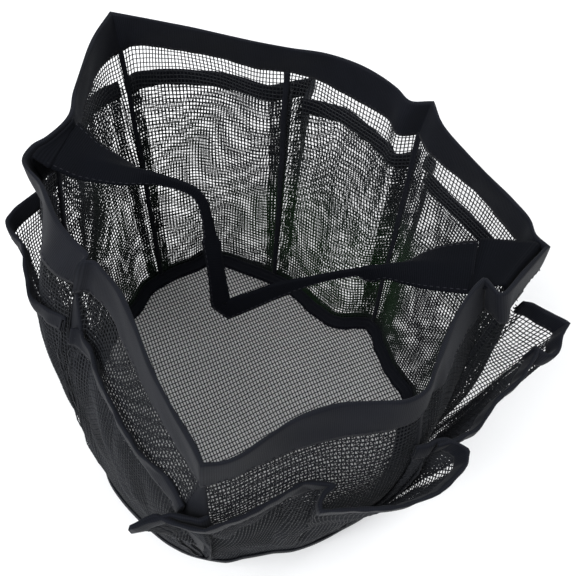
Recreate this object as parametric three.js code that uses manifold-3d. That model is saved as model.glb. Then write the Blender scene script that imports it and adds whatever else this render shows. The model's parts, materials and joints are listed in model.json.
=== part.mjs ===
import * as THREE from 'three';
import { mergeGeometries, mergeVertices } from 'three/addons/utils/BufferGeometryUtils.js';
import Module from 'manifold-3d';

// Mesh shower caddy: a round open tote of black net, with a nylon hem, eight
// outer pockets and a carrying strap that swings over the rim.
// Lengths are in millimetres and angles in degrees. X runs along the strap,
// the front is -Y, +Z is up, and the origin is on the floor under the middle of
// the whole.

// Bag
const bagHeight = 200; // floor to the top of the hem
const rimRadius = 127; // of the rim when it is held round, 10 in across
const baseRadius = 105; // outer edge of the binding round the base
const foldPower = 3; // how late the round wall turns into the folded rim
const seamTurn = 5; // azimuth of the first seam at the base
const columnStep = 14; // longest facet along the rim

// Net and cloth
const netThick = 0.8;
const clothThick = 0.8;
const layerGap = 0.3; // air between two layers that touch

// Hem round the rim
const hemHeight = 22;

// Binding round the base
const footWidth = 9; // of the leg that lies on the floor
const footRise = 6; // of the legs that hold the wall

// Base net
const floorNetThick = 1.2;
const floorNetPitch = 11.4;
const floorNetStrand = 2.2;
const floorNetTurn = 42; // of the threads, from X

// Seam tapes
const tapeWidth = 4.4;
const tapeThick = 2.4;
const tapeClearance = 0.4; // from a tape's edge to the net of the wall

// Pockets
const mouthShare = 0.83; // of the bag's height, to the top of a pocket's binding
const bindingHeight = 11;
const pocketInset = 4.4; // from a seam's middle to the pocket's side edge
const pocketGape = 30; // widest reach of a mouth out of the wall
const flarePower = 1.3; // how late a pocket leaves the wall on its way up

// Strap: the fold lines are where it starts to swing, beside the fixed tabs
const strapSide = 7.75; // of the strap's middle line, from the origin to the back
const strapSink = 3; // of the swing axis, below the top of the hem
const leftFoldShare = 0.811; // of the rim radius, from the middle to the left fold line
const rightFoldShare = 0.822;
const foldGap = 0.4; // between a fixed tab and the strap
const strapDrop = 79; // swing axis to the strap's lowest bend, along the strap's plane
const strapLean = 14; // of the strap's plane, towards the front
const strapWide = 30; // open width
const gripWide = 15; // folded width
const webbingThick = 1.8;
const gripThick = 5;
const tabWidth = 26;
const tabDepth = 15; // of the sewn leg on the hem
const rightTabOffset = 16; // from the seam beside the right tab to the tab's middle
const rightTabPanel = 'right_back'; // the panels that start beside the tabs
const leftTabPanel = 'left_front';

// The base from above, anticlockwise from the first seam: azimuth in degrees and
// share of the radius of the round base.
const baseShares = [
  [5, 1.04], [14, 1.07], [19, 1.07], [25, 1.02], [32, 0.985], [40, 0.99], [46, 1.02], [51, 1.015],
  [55, 0.95], [59, 0.86], [64, 0.825], [71, 0.825], [79, 0.86], [86, 0.895], [97, 0.94], [106, 0.985],
  [115, 1.055], [122, 1.085], [127, 1.055], [137, 1.045], [146, 1.035], [158, 0.97], [170, 0.975],
  [185, 0.975], [200, 0.95], [211, 0.92], [218, 0.9], [226, 0.925], [234, 0.957], [246, 0.975],
  [256, 0.995], [264, 1.018], [272, 1.03], [281, 1.03], [288, 1], [297, 0.985], [304, 1], [320, 1.005],
  [330, 1.03], [342, 1.05], [355, 1.05], [365, 1.04],
];

// The rim from above, from the seam at the back of the right tab, anticlockwise.
// rimShares: azimuth in degrees and share of the rim radius.
// mouthShares: how far along the panel, then the reach out of the wall and the
// shift along it, as shares of the gape.
const panels = [
  {
    name: 'right_back',
    rimShares: [[10.5, 1.08], [13, 1.035], [17, 1.02], [22, 0.973], [33, 0.893], [49, 0.865], [56.5, 0.915]],
    mouthShares: [[0.1, 0.25, 0], [0.35, 0.35, 0], [0.65, 0.35, 0], [0.83, 0.35, 0], [0.92, 0.65, 0.1]],
  },
  {
    name: 'back_right',
    rimShares: [[56.5, 0.915], [61.5, 0.84], [72, 0.847], [85, 0.874], [99, 0.861]],
    mouthShares: [[0.1, 0.3, 0], [0.35, 0.35, 0], [0.65, 0.35, 0], [0.82, 0.35, 0], [0.91, 0.65, 0.1]],
  },
  {
    name: 'back_left',
    rimShares: [[99, 0.861], [110, 0.887], [122, 0.97], [131, 1.07], [139, 1.2]],
    mouthShares: [[0.1, 0.25, 0], [0.35, 0.35, 0], [0.65, 0.35, 0], [0.84, 0.35, 0], [0.92, 0.55, 0]],
  },
  {
    name: 'left_back',
    rimShares: [[139, 1.2], [145, 1.115], [151.5, 1.02], [160, 0.923], [167, 0.857], [176, 0.872]],
    mouthShares: [[0.1, 0.35, 0], [0.35, 0.4, 0], [0.65, 0.4, 0], [0.9, 0.35, 0]],
  },
  {
    name: 'left_front',
    rimShares: [[176, 0.872], [180, 0.905], [185, 0.91], [191, 0.817], [203, 0.738], [212, 0.68], [219.5, 0.643]],
    mouthShares: [[0.1, 0.35, -0.2], [0.22, 0.5, -0.3], [0.3, 0.4, -0.25], [0.55, 0.35, -0.1], [0.85, 0.3, 0]],
  },
  {
    name: 'front_left',
    rimShares: [
      [219.5, 0.643], [225, 0.624], [234, 0.614], [246, 0.656],
      [259, 0.763], [267.5, 0.86], [274, 0.955], [277, 1.024],
    ],
    mouthShares: [[0.1, 0.3, 0], [0.35, 0.42, 0], [0.65, 0.4, 0], [0.88, 0.3, 0]],
  },
  {
    name: 'front_right',
    rimShares: [
      [277, 1.024], [280.5, 1.008], [283.5, 0.98], [289, 0.91], [296, 0.85],
      [306, 0.835], [314, 0.874], [320, 0.917], [325, 0.919],
    ],
    mouthShares: [
      [0.08, 0.2, -0.15], [0.2, 0.1, -1.2], [0.28, 0.3, -1.3], [0.35, 0.5, -1.1], [0.41, 0.47, -0.75],
      [0.51, 0.25, -0.15], [0.56, 0.4, 0.05], [0.6, 0.7, -0.35], [0.7, 0.86, 0.1], [0.8, 0.84, 0.65],
      [0.88, 0.5, 0.9],
    ],
  },
  {
    name: 'right_front',
    rimShares: [
      [325, 0.919], [329, 0.888], [333, 0.86], [343, 0.822], [351.5, 0.828],
      [356, 0.857], [357, 0.938], [363.5, 1], [370.5, 1.08],
    ],
    mouthShares: [
      [0.15, 0.5, -0.15], [0.23, 0.74, -0.05], [0.35, 0.8, 0.1], [0.49, 0.92, 0.3], [0.72, 0.85, 0.7],
      [0.8, 0.79, 0.82], [0.87, 0.5, 0.6],
    ],
  },
];

// Heights of the wall's folds, as shares of the way from the base binding to the hem.
const rowShares = [0, 0.18, 0.36, 0.54, 0.7, 0.82, 0.92, 1];

// The strap's path in its own plane: share of the way from the left fold line
// to the right one, share of the drop, share of the turn from lying flat to
// standing on edge, and shares of the way from open to folded width.
const strapShares = [
  [0, 0, 0, 0],
  [0.03, 0.03, 0, 0.1],
  [0.06, 0.06, 0.05, 0.25],
  [0.11, 0.07, 0.2, 0.5],
  [0.17, 0.07, 0.55, 0.8],
  [0.22, 0.06, 0.85, 0.95],
  [0.255, 0.06, 1, 1],
  [0.3, 0.065, 1, 1],
  [0.33, 0.085, 1, 1],
  [0.352, 0.14, 1, 1],
  [0.368, 0.24, 1, 1],
  [0.395, 0.47, 1, 1],
  [0.461, 1, 1, 1],
  [0.579, 0.7, 1, 1],
  [0.64, 0.57, 1, 1],
  [0.695, 0.44, 1, 1],
  [0.745, 0.36, 1, 1],
  [0.8, 0.3, 0.9, 1],
  [0.845, 0.22, 0.7, 0.9],
  [0.888, 0.16, 0.4, 0.7],
  [0.945, 0.1, 0.1, 0.45],
  [1, 0.05, 0, 0.4],
];
// Where a tab bends along the hem, as shares of its width from its middle.
const tabShares = [-0.5, -0.25, 0, 0.25, 0.5];

const leftEndRows = 5; // of the strap's rows that belong to each piece
const gripRows = 13;

// Worked out from the sizes above
const netHalf = netThick / 2;
const slotHalf = netHalf + layerGap;
const bindingHalf = slotHalf + clothThick;
const hemBottom = bagHeight - hemHeight;
const layerPitch = netThick + layerGap; // wall net to pocket net at the foot
const mouthPitch = bindingHalf + netHalf + layerGap; // and at the mouth
const footSlotOut = layerPitch + slotHalf;
const footOut = footSlotOut + clothThick;
const wallRadius = baseRadius - footOut; // of the wall net at the floor
const netBottom = clothThick + layerGap;
const footTop = footRise + layerGap;
const mouthHeight = mouthShare * bagHeight;
const axisHeight = bagHeight - strapSink;
const foldLeft = -leftFoldShare * rimRadius;
const foldRight = rightFoldShare * rimRadius;
const panelTurn = 360 / panels.length;

const net = new THREE.MeshStandardMaterial({ color: 0x17171b, roughness: 0.75, metalness: 0 });
const floorNet = new THREE.MeshStandardMaterial({ color: 0x24242a, roughness: 0.7, metalness: 0 });
const cloth = new THREE.MeshStandardMaterial({ color: 0x1f2028, roughness: 0.6, metalness: 0 });
const webbing = new THREE.MeshStandardMaterial({ color: 0x191a21, roughness: 0.65, metalness: 0 });

const wasm = await Module();
wasm.setup();

const caddy = new THREE.Group();

function polar(azimuth, radius) {
  const angle = THREE.MathUtils.degToRad(azimuth);
  return new THREE.Vector2(radius * Math.cos(angle), radius * Math.sin(angle));
}

// The rim of one panel, as straight pieces between its corners.
function rimPath(panel) {
  const corners = panel.rimShares.map(([azimuth, share]) => polar(azimuth, share * rimRadius));
  const path = new THREE.CurvePath();
  for (let index = 1; index < corners.length; index += 1) {
    path.add(new THREE.LineCurve(corners[index - 1], corners[index]));
  }
  return path;
}

// Places along a panel, from 0 to 1, where the net may bend: every corner of
// the rim, the side edges of the pocket, and points between them on the longer
// stretches.
function panelColumns(path) {
  const total = path.getLength();
  const corners = path.getCurveLengths().slice(0, -1);
  const inner = corners.filter((corner) => corner > pocketInset && corner < total - pocketInset);
  const ends = [0, pocketInset, ...inner, total - pocketInset, total];
  const columns = [0];
  for (let index = 1; index < ends.length; index += 1) {
    const stretch = ends[index] - ends[index - 1];
    const steps = Math.ceil(stretch / columnStep);
    for (let step = 1; step <= steps; step += 1) {
      columns.push((ends[index - 1] + (stretch * step) / steps) / total);
    }
  }
  return columns;
}

// The bag's middle surface on a column: it widens from the base to a round rim,
// and turns into the folded rim.
function columnPoint(index, along, height) {
  const rise = height / bagHeight;
  const azimuth = seamTurn + (index + along) * panelTurn;
  const round = polar(azimuth, THREE.MathUtils.lerp(wallRadius * baseShare(azimuth), rimRadius, rise));
  return round.lerp(panels[index].path.getPoint(along), rise ** foldPower);
}

const rows = [0, ...rowShares.map((share) => THREE.MathUtils.lerp(footTop, hemBottom, share)), bagHeight];
panels.forEach((panel) => {
  panel.path = rimPath(panel);
  panel.columns = panelColumns(panel.path);
});

// The pair of neighbours in a rising list that a value lies between, and the
// share of the way from the first to the second.
function bracket(values, value) {
  let upper = 1;
  while (upper < values.length - 1 && values[upper] < value) {
    upper += 1;
  }
  const low = values[upper - 1];
  const high = values[upper];
  return { low, high, share: (value - low) / (high - low) };
}

function baseShare(azimuth) {
  const places = baseShares.map(([place]) => place);
  const { low, high, share } = bracket(places, azimuth);
  return THREE.MathUtils.lerp(baseShares[places.indexOf(low)][1], baseShares[places.indexOf(high)][1], share);
}

// The bag's middle surface anywhere, faceted between its columns and rows.
function bagPoint(index, along, height) {
  const column = bracket(panels[index].columns, along);
  const row = bracket(rows, height);
  const lower = columnPoint(index, column.low, row.low).lerp(columnPoint(index, column.high, row.low), column.share);
  const upper = columnPoint(index, column.low, row.high).lerp(columnPoint(index, column.high, row.high), column.share);
  return lower.lerp(upper, row.share);
}

// Moves a line of points sideways by the same distance all along, to its right.
function offsetLine(points, distance, closed) {
  const count = points.length;
  const normals = points.map((point, index) => {
    const next = points[(index + 1) % count];
    return new THREE.Vector2(next.y - point.y, point.x - next.x).normalize();
  });
  return points.map((point, index) => {
    const before = index > 0 || closed ? normals[(index + count - 1) % count] : normals[0];
    const after = index < count - 1 || closed ? normals[index] : before;
    const mitre = before.clone().add(after);
    mitre.multiplyScalar(distance / (1 + before.dot(after)));
    return point.clone().add(mitre);
  });
}

// Joins alike outlines, one after another, into one closed body. The outline
// turns from its first axis to its second as seen from where the sections
// start. The caps are the triangles that fill it at both ends, and a run
// without caps comes back to its first section.
function joinSections(sections, outline, caps) {
  const count = outline.length;
  const closed = caps.length === 0;
  const faces = [];
  const spans = closed ? sections.length : sections.length - 1;
  for (let span = 0; span < spans; span += 1) {
    const here = span * count;
    const next = ((span + 1) % sections.length) * count;
    for (let corner = 0; corner < count; corner += 1) {
      const other = (corner + 1) % count;
      const [a, b, c, d] = [here + corner, next + corner, next + other, here + other];
      const rising = outline[other].y >= outline[corner].y;
      faces.push(...(rising ? [a, b, c, a, c, d] : [a, b, d, b, c, d]));
    }
  }
  const last = (sections.length - 1) * count;
  caps.forEach((cap) => {
    const turned = THREE.ShapeUtils.area(cap.map((corner) => outline[corner])) < 0;
    const [a, b, c] = turned ? [...cap].reverse() : cap;
    faces.push(a, b, c, last + a, last + c, last + b);
  });
  const geometry = new THREE.BufferGeometry();
  const positions = sections.flat().flatMap((point) => point.toArray());
  geometry.setAttribute('position', new THREE.Float32BufferAttribute(positions, 3));
  geometry.setIndex(faces);
  return geometry;
}

// Sweeps a profile along the lines that a piece follows at each height. In the
// profile x is the distance out of the middle surface and y is the height.
function sweepProfile(lineAt, profile, caps) {
  const closed = caps.length === 0;
  const lines = profile.map((corner) => offsetLine(lineAt(corner.y), corner.x, closed));
  const sections = lines[0].map((_, index) => (
    profile.map((corner, side) => new THREE.Vector3(lines[side][index].x, lines[side][index].y, corner.y))
  ));
  return joinSections(sections, profile, caps);
}

// Triangles that fill any outline.
function plainCaps(outline) {
  return THREE.ShapeUtils.triangulateShape(outline, []);
}

// Triangles that fill a layer's outline row by row, so that its ends can bend.
function layerCaps(outline) {
  const last = outline.length - 1;
  const caps = [];
  for (let row = 0; row < (last - 1) / 2; row += 1) {
    caps.push([row, row + 1, last - row - 1], [row, last - row - 1, last - row]);
  }
  return caps;
}

function addPiece(parent, name, geometry, material) {
  const mesh = new THREE.Mesh(geometry, material);
  mesh.name = name;
  parent.add(mesh);
}

function outlineOf(corners) {
  return corners.map(([x, y]) => new THREE.Vector2(x, y));
}

// A flat layer from one distance to another, between two heights, that bends
// at the bag's rows and at folds of its own.
function layerProfile(inner, outer, bottom, top, folds = []) {
  const inside = [...rows, ...folds].filter((row) => row > bottom && row < top).sort((a, b) => a - b);
  const heights = [bottom, ...inside, top];
  const outerSide = heights.map((height) => [outer, height]);
  const innerSide = heights.map((height) => [inner, height]).reverse();
  return outlineOf([...outerSide, ...innerSide]);
}

// A folded strip over a top edge: two legs and the turn above them.
function bindingProfile(bottom, top) {
  return outlineOf([
    [slotHalf, bottom],
    [bindingHalf, bottom],
    [bindingHalf, top],
    [-bindingHalf, top],
    [-bindingHalf, bottom],
    [-slotHalf, bottom],
    [-slotHalf, top - clothThick],
    [slotHalf, top - clothThick],
  ]);
}

// The columns of a panel between two places, with the places themselves.
function columnsBetween(index, start, end) {
  const inside = panels[index].columns.filter((along) => along > start && along < end);
  return [start, ...inside, end];
}

// The closed line round the whole bag at a height.
function wholeLine(height) {
  return panels.flatMap((panel, index) => (
    panel.columns.slice(0, -1).map((along) => bagPoint(index, along, height))
  ));
}

function addHem() {
  const profile = bindingProfile(hemBottom, bagHeight);
  addPiece(caddy, 'rim_hem', sweepProfile(wholeLine, profile, []), cloth);
}

// The binding stands on the floor: a flat leg under the base net, and two
// upright legs that hold the wall net and the pocket nets between them.
function addFoot() {
  const profile = outlineOf([
    [footOut - footWidth, 0],
    [footOut, 0],
    [footOut, footRise],
    [footSlotOut, footRise],
    [footSlotOut, clothThick],
    [-slotHalf, clothThick],
    [-slotHalf, footRise],
    [-bindingHalf, footRise],
    [-bindingHalf, clothThick],
    [footOut - footWidth, clothThick],
  ]);
  addPiece(caddy, 'base_binding', sweepProfile(wholeLine, profile, []), cloth);
}

// A geometry as a solid that can be cut.
function solidOf(geometry) {
  const bare = geometry.clone();
  bare.deleteAttribute('normal');
  bare.deleteAttribute('uv');
  const merged = mergeVertices(bare);
  return new wasm.Manifold(new wasm.Mesh({
    numProp: 3,
    vertProperties: merged.attributes.position.array,
    triVerts: Uint32Array.from(merged.index.array),
  }));
}

// Whether a point lies inside a closed line.
function isInside(point, line) {
  return line.reduce((inside, corner, index) => {
    const next = line[(index + 1) % line.length];
    const spans = (corner.y > point.y) !== (next.y > point.y);
    const share = (point.y - corner.y) / (next.y - corner.y);
    const crosses = spans && point.x < THREE.MathUtils.lerp(corner.x, next.x, share);
    return crosses ? !inside : inside;
  }, false);
}

// The base is a flat net of square gaps that lies on the binding's floor leg.
// Gaps that would cut its margin are left out.
function addFloorNet() {
  const wall = wholeLine(netBottom);
  const edge = offsetLine(wall, -bindingHalf - 2 * layerGap, true);
  const margin = offsetLine(wall, -footWidth / 2, true);
  const gap = floorNetPitch - floorNetStrand;
  const count = Math.ceil(rimRadius / floorNetPitch);
  const turn = THREE.MathUtils.degToRad(floorNetTurn);
  const centre = new THREE.Vector2();
  const corners = outlineOf([[-1, -1], [1, -1], [1, 1], [-1, 1]]);
  const gaps = [];
  for (let column = -count; column <= count; column += 1) {
    for (let row = -count; row <= count; row += 1) {
      const place = new THREE.Vector2(column, row).multiplyScalar(floorNetPitch);
      const cell = corners.map((corner) => corner.clone().multiplyScalar(gap / 2).add(place).rotateAround(centre, turn));
      if (cell.every((corner) => isInside(corner, margin))) {
        const box = new THREE.BoxGeometry(gap, gap, 2 * floorNetThick);
        gaps.push(box.translate(place.x, place.y, floorNetThick / 2).rotateZ(turn));
      }
    }
  }
  const sheet = new THREE.ExtrudeGeometry(new THREE.Shape(edge), { depth: floorNetThick, bevelEnabled: false });
  const cut = solidOf(sheet).subtract(solidOf(mergeGeometries(gaps))).getMesh();
  const geometry = new THREE.BufferGeometry();
  geometry.setAttribute('position', new THREE.BufferAttribute(cut.vertProperties, 3));
  geometry.setIndex(new THREE.BufferAttribute(cut.triVerts, 1));
  geometry.translate(0, 0, netBottom);
  addPiece(caddy, 'base_net', geometry, floorNet);
}

function addWall(panel, index) {
  const margin = (tapeWidth / 2 + tapeClearance) / panel.path.getLength();
  const columns = columnsBetween(index, margin, 1 - margin);
  const lineAt = (height) => columns.map((along) => bagPoint(index, along, height));
  const profile = layerProfile(-netHalf, netHalf, netBottom, bagHeight - clothThick - layerGap);
  addPiece(caddy, `wall_net_${panel.name}`, sweepProfile(lineAt, profile, layerCaps(profile)), net);
}

// A strip along the seam before a panel, from the base binding to the hem.
function addTape(panel, index) {
  const before = (index + panels.length - 1) % panels.length;
  const half = tapeWidth / 2;
  const lineAt = (height) => [
    bagPoint(before, 1 - half / panels[before].path.getLength(), height),
    bagPoint(index, 0, height),
    bagPoint(index, half / panel.path.getLength(), height),
  ];
  const inner = (layerPitch - tapeThick) / 2;
  const profile = layerProfile(inner, inner + tapeThick, footTop, hemBottom - layerGap);
  addPiece(caddy, `seam_tape_${panel.name}`, sweepProfile(lineAt, profile, layerCaps(profile)), cloth);
}

// The columns of a pocket: its own folds, and the bag's columns between them,
// each with its reach and shift.
function pocketColumns(panel, index) {
  const margin = pocketInset / panel.path.getLength();
  const folds = [[margin, 0, 0], ...panel.mouthShares, [1 - margin, 0, 0]];
  const places = folds.map(([along]) => along);
  const merged = columnsBetween(index, margin, 1 - margin).filter((along) => (
    places.every((place) => Math.abs(place - along) * panel.path.getLength() > tapeWidth / 2)
  ));
  return [...places, ...merged].sort((a, b) => a - b).map((along) => {
    const { low, high, share } = bracket(places, along);
    const first = folds[places.indexOf(low)];
    const second = folds[places.indexOf(high)];
    return {
      along,
      reach: THREE.MathUtils.lerp(first[1], second[1], share) * pocketGape,
      shift: THREE.MathUtils.lerp(first[2], second[2], share) * pocketGape,
    };
  });
}

// The middle line of a pocket's net at a height. It leaves the wall as it
// rises, square to the panel, and its folds shift along the panel.
function pocketLine(index, columns, height) {
  const start = bagPoint(index, 0, mouthHeight);
  const forward = bagPoint(index, 1, mouthHeight).sub(start).normalize();
  const outward = new THREE.Vector2(forward.y, -forward.x);
  const rise = Math.max(height - footTop, 0) / (mouthHeight - footTop);
  const flare = rise ** flarePower;
  const lift = Math.min((height - netBottom) / (rows[2] - netBottom), 1);
  const wall = columns.map(({ along }) => bagPoint(index, along, height));
  const seated = offsetLine(wall, THREE.MathUtils.lerp(layerPitch, mouthPitch, lift), false);
  return seated.map((point, place) => point
    .addScaledVector(outward, columns[place].reach * flare)
    .addScaledVector(forward, columns[place].shift * flare));
}

function addPocket(panel, index) {
  const columns = pocketColumns(panel, index);
  const lineAt = (height) => pocketLine(index, columns, height);
  const netTop = mouthHeight - clothThick - layerGap;
  const bindingBottom = mouthHeight - bindingHeight;
  const layer = layerProfile(-netHalf, netHalf, netBottom, netTop, [bindingBottom]);
  addPiece(caddy, `pocket_net_${panel.name}`, sweepProfile(lineAt, layer, layerCaps(layer)), net);
  const binding = bindingProfile(bindingBottom, mouthHeight);
  addPiece(caddy, `pocket_binding_${panel.name}`, sweepProfile(lineAt, binding, plainCaps(binding)), cloth);
}

// A tab is a piece of webbing: a leg sewn to the inside of the hem, and a flat
// leg from there to the fold line. Its places run along the rim.
function addTab(name, places, fold, foldShares) {
  const outer = -bindingHalf - layerGap;
  const inner = outer - webbingThick;
  const top = axisHeight + webbingThick / 2;
  const foldTop = top - foldShares[1] * strapDrop * Math.cos(THREE.MathUtils.degToRad(strapLean));
  const foldHalf = THREE.MathUtils.lerp(strapWide, gripWide, foldShares[3]) / 2;
  const lineAt = (distance, height) => {
    const line = places.map(({ index, along }) => bagPoint(index, along, height));
    return offsetLine(line, distance, false);
  };
  const legTop = lineAt(outer, top);
  const legTurn = lineAt(inner, top - webbingThick);
  const legOuter = lineAt(outer, top - tabDepth);
  const legInner = lineAt(inner, top - tabDepth);
  const side = Math.sign(legTop[legTop.length - 1].y - legTop[0].y);
  const sections = places.map((_, index) => {
    const across = strapSide + side * foldHalf * ((2 * index) / (places.length - 1) - 1);
    return [
      new THREE.Vector3(legInner[index].x, legInner[index].y, top - tabDepth),
      new THREE.Vector3(legOuter[index].x, legOuter[index].y, top - tabDepth),
      new THREE.Vector3(legTop[index].x, legTop[index].y, top),
      new THREE.Vector3(fold, across, foldTop),
      new THREE.Vector3(fold, across, foldTop - webbingThick),
      new THREE.Vector3(legTurn[index].x, legTurn[index].y, top - webbingThick),
    ];
  });
  const outline = outlineOf([
    [inner, top - tabDepth],
    [outer, top - tabDepth],
    [outer, top],
    [inner - tabDepth, top],
    [inner - tabDepth, top - webbingThick],
    [inner, top - webbingThick],
  ]);
  addPiece(caddy, name, joinSections(sections, outline, plainCaps(outline)), webbing);
}

// A place on the rim at a distance along it from the seam before a panel.
function rimPlace(seam, distance) {
  const index = distance < 0 ? (seam + panels.length - 1) % panels.length : seam;
  const along = distance / panels[index].path.getLength();
  return { index, along: distance < 0 ? 1 + along : along };
}

function addTabs() {
  const stations = tabShares.map((share) => share * tabWidth);
  const leftSeam = panels.findIndex((panel) => panel.name === leftTabPanel);
  const rightSeam = panels.findIndex((panel) => panel.name === rightTabPanel);
  const left = stations.map((distance) => rimPlace(leftSeam, distance));
  addTab('handle_tab_left', left, foldLeft - foldGap, strapShares[0]);
  const right = stations.map((distance) => rimPlace(rightSeam, distance - rightTabOffset));
  addTab('handle_tab_right', right, foldRight + foldGap, strapShares[strapShares.length - 1]);
}

// One row of the strap, in its own plane: where it is, and the half width as a
// vector across it. A row on edge inside a bend is mitred, and the strap's ends
// are square to the axis that it swings about.
function strapRow(row) {
  const axis = new THREE.Vector3(1, 0, 0);
  const pointOf = ([span, drop]) => new THREE.Vector3(
    THREE.MathUtils.lerp(foldLeft, foldRight, span), 0, -drop * strapDrop,
  );
  const [, , turnShare, foldShare] = strapShares[row];
  const point = pointOf(strapShares[row]);
  const atEnd = row === 0 || row === strapShares.length - 1;
  const into = atEnd ? axis.clone() : point.clone().sub(pointOf(strapShares[row - 1])).normalize();
  const out = atEnd ? axis.clone() : pointOf(strapShares[row + 1]).sub(point).normalize();
  const forward = into.clone().add(out).normalize();
  const across = new THREE.Vector3(0, 1, 0);
  const upright = new THREE.Vector3().crossVectors(forward, across);
  const turn = THREE.MathUtils.degToRad(THREE.MathUtils.lerp(strapLean, 90, turnShare));
  const half = THREE.MathUtils.lerp(strapWide, gripWide, foldShare) / 2;
  const side = across.multiplyScalar(Math.cos(turn))
    .addScaledVector(upright, Math.sin(turn) / forward.dot(into));
  const face = new THREE.Vector3().crossVectors(side, forward).normalize();
  return { point, side: side.multiplyScalar(half), face, thickness: lerpThickness(foldShare) };
}

function lerpThickness(foldShare) {
  return THREE.MathUtils.lerp(webbingThick, gripThick, foldShare ** foldPower);
}

// A stretch of the strap between two of its rows, flat with rounded edges.
function strapStretch(first, last, startGap) {
  const rowsOf = [];
  for (let row = first; row <= last; row += 1) {
    rowsOf.push(strapRow(row));
  }
  const towards = rowsOf[1].point.clone().sub(rowsOf[0].point).normalize();
  rowsOf[0].point.addScaledVector(towards, startGap);
  const edgeShare = 0.85;
  const outline = outlineOf([
    [1, 0], [edgeShare, 1], [-edgeShare, 1], [-1, 0], [-edgeShare, -1], [edgeShare, -1],
  ]);
  const sections = rowsOf.map(({ point, side, face, thickness }) => outline.map((corner) => (
    point.clone().addScaledVector(side, corner.x).addScaledVector(face, (corner.y * thickness) / 2)
  )));
  return joinSections(sections, outline, plainCaps(outline));
}

// The strap hangs inside the bag. It is three pieces in one swinging body: two
// open ends and the grip, where the webbing is folded double.
function addStrap() {
  const strap = new THREE.Group();
  const gripStart = leftEndRows - 1;
  const gripEnd = gripStart + gripRows;
  addPiece(strap, 'handle_end_left', strapStretch(0, gripStart, 0), webbing);
  addPiece(strap, 'handle_grip', strapStretch(gripStart, gripEnd, layerGap), webbing);
  addPiece(strap, 'handle_end_right', strapStretch(gripEnd, strapShares.length - 1, layerGap), webbing);
  strap.position.set(0, strapSide, axisHeight);
  strap.rotation.x = -THREE.MathUtils.degToRad(strapLean);
  caddy.add(strap);
}

addFloorNet();
addFoot();
panels.forEach(addWall);
panels.forEach(addTape);
panels.forEach(addPocket);
addHem();
addTabs();
addStrap();

// The bag is drawn about the middle of its base. Its pockets reach further on
// some sides, so the whole caddy moves until the origin is under its middle.
const middle = new THREE.Box3().setFromObject(caddy).getCenter(new THREE.Vector3());
caddy.position.set(-middle.x, -middle.y, 0);
const part = new THREE.Group();
part.add(caddy);

export default part;
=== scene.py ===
"""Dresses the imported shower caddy: net walls and pockets, cloth bands, strap, floor, light and camera.

Lengths inside the classes are millimetres about the middle of the bag's base. They become
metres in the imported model's frame in one place, Form.place.
"""

import json
import logging
import math
from collections.abc import Callable, Sequence
from dataclasses import dataclass, field
from enum import Enum

import bpy
import numpy as np
from mathutils import Matrix, Vector


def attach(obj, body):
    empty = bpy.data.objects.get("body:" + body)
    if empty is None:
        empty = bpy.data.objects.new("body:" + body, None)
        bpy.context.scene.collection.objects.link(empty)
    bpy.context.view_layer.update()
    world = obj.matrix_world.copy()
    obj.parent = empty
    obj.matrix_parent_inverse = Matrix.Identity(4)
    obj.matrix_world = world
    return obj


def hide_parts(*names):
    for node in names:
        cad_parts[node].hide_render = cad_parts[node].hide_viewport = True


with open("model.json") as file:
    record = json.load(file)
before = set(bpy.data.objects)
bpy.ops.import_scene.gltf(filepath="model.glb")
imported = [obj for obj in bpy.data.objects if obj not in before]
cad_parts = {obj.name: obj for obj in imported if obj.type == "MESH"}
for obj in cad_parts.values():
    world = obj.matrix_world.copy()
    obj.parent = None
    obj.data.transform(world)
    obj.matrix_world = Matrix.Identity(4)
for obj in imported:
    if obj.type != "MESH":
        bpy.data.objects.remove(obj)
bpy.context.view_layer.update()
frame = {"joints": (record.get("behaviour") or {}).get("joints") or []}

log = logging.getLogger("caddy")

Array = np.ndarray
Surface = Callable[[Array, Array], Array]
Triple = tuple[float, float, float]
MM = 0.001
TURN = 2 * math.pi
TINY = 1e-9
WEAVE_MAP = "weave"
BAKE_MAP = "OFBake"
MAP_EDGE = 0.008


class Body(Enum):
    """The bodies that pieces ride on."""

    BAG = "bag"
    HANDLE = "handle"


class Held(Enum):
    """How a sheet of cloth is held."""

    GATHERED = "gathered"
    STRETCHED = "stretched"
    FOLDED = "folded"
    HUNG = "hung"


class Slot(Enum):
    """The record's material slots."""

    MESH = "mesh"
    BASE = "base_net"
    CLOTH = "nylon_cloth"
    WEBBING = "webbing"


# Shader nodes


def add_node(
    tree: bpy.types.NodeTree, kind: str, settings: dict[str, object], values: dict[int | str, object],
) -> bpy.types.Node:
    """Adds a node to a tree.

    Args:
        tree: the tree.
        kind: the node's type.
        settings: its own settings, which are set first.
        values: for each socket, by number or name, a value or the output that feeds it.

    Returns:
        The node.
    """
    node = tree.nodes.new(kind)
    for name, value in settings.items():
        setattr(node, name, value)
    for name, value in values.items():
        if isinstance(value, bpy.types.NodeSocket):
            tree.links.new(value, node.inputs[name])
        else:
            node.inputs[name].default_value = value
    return node


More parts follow.
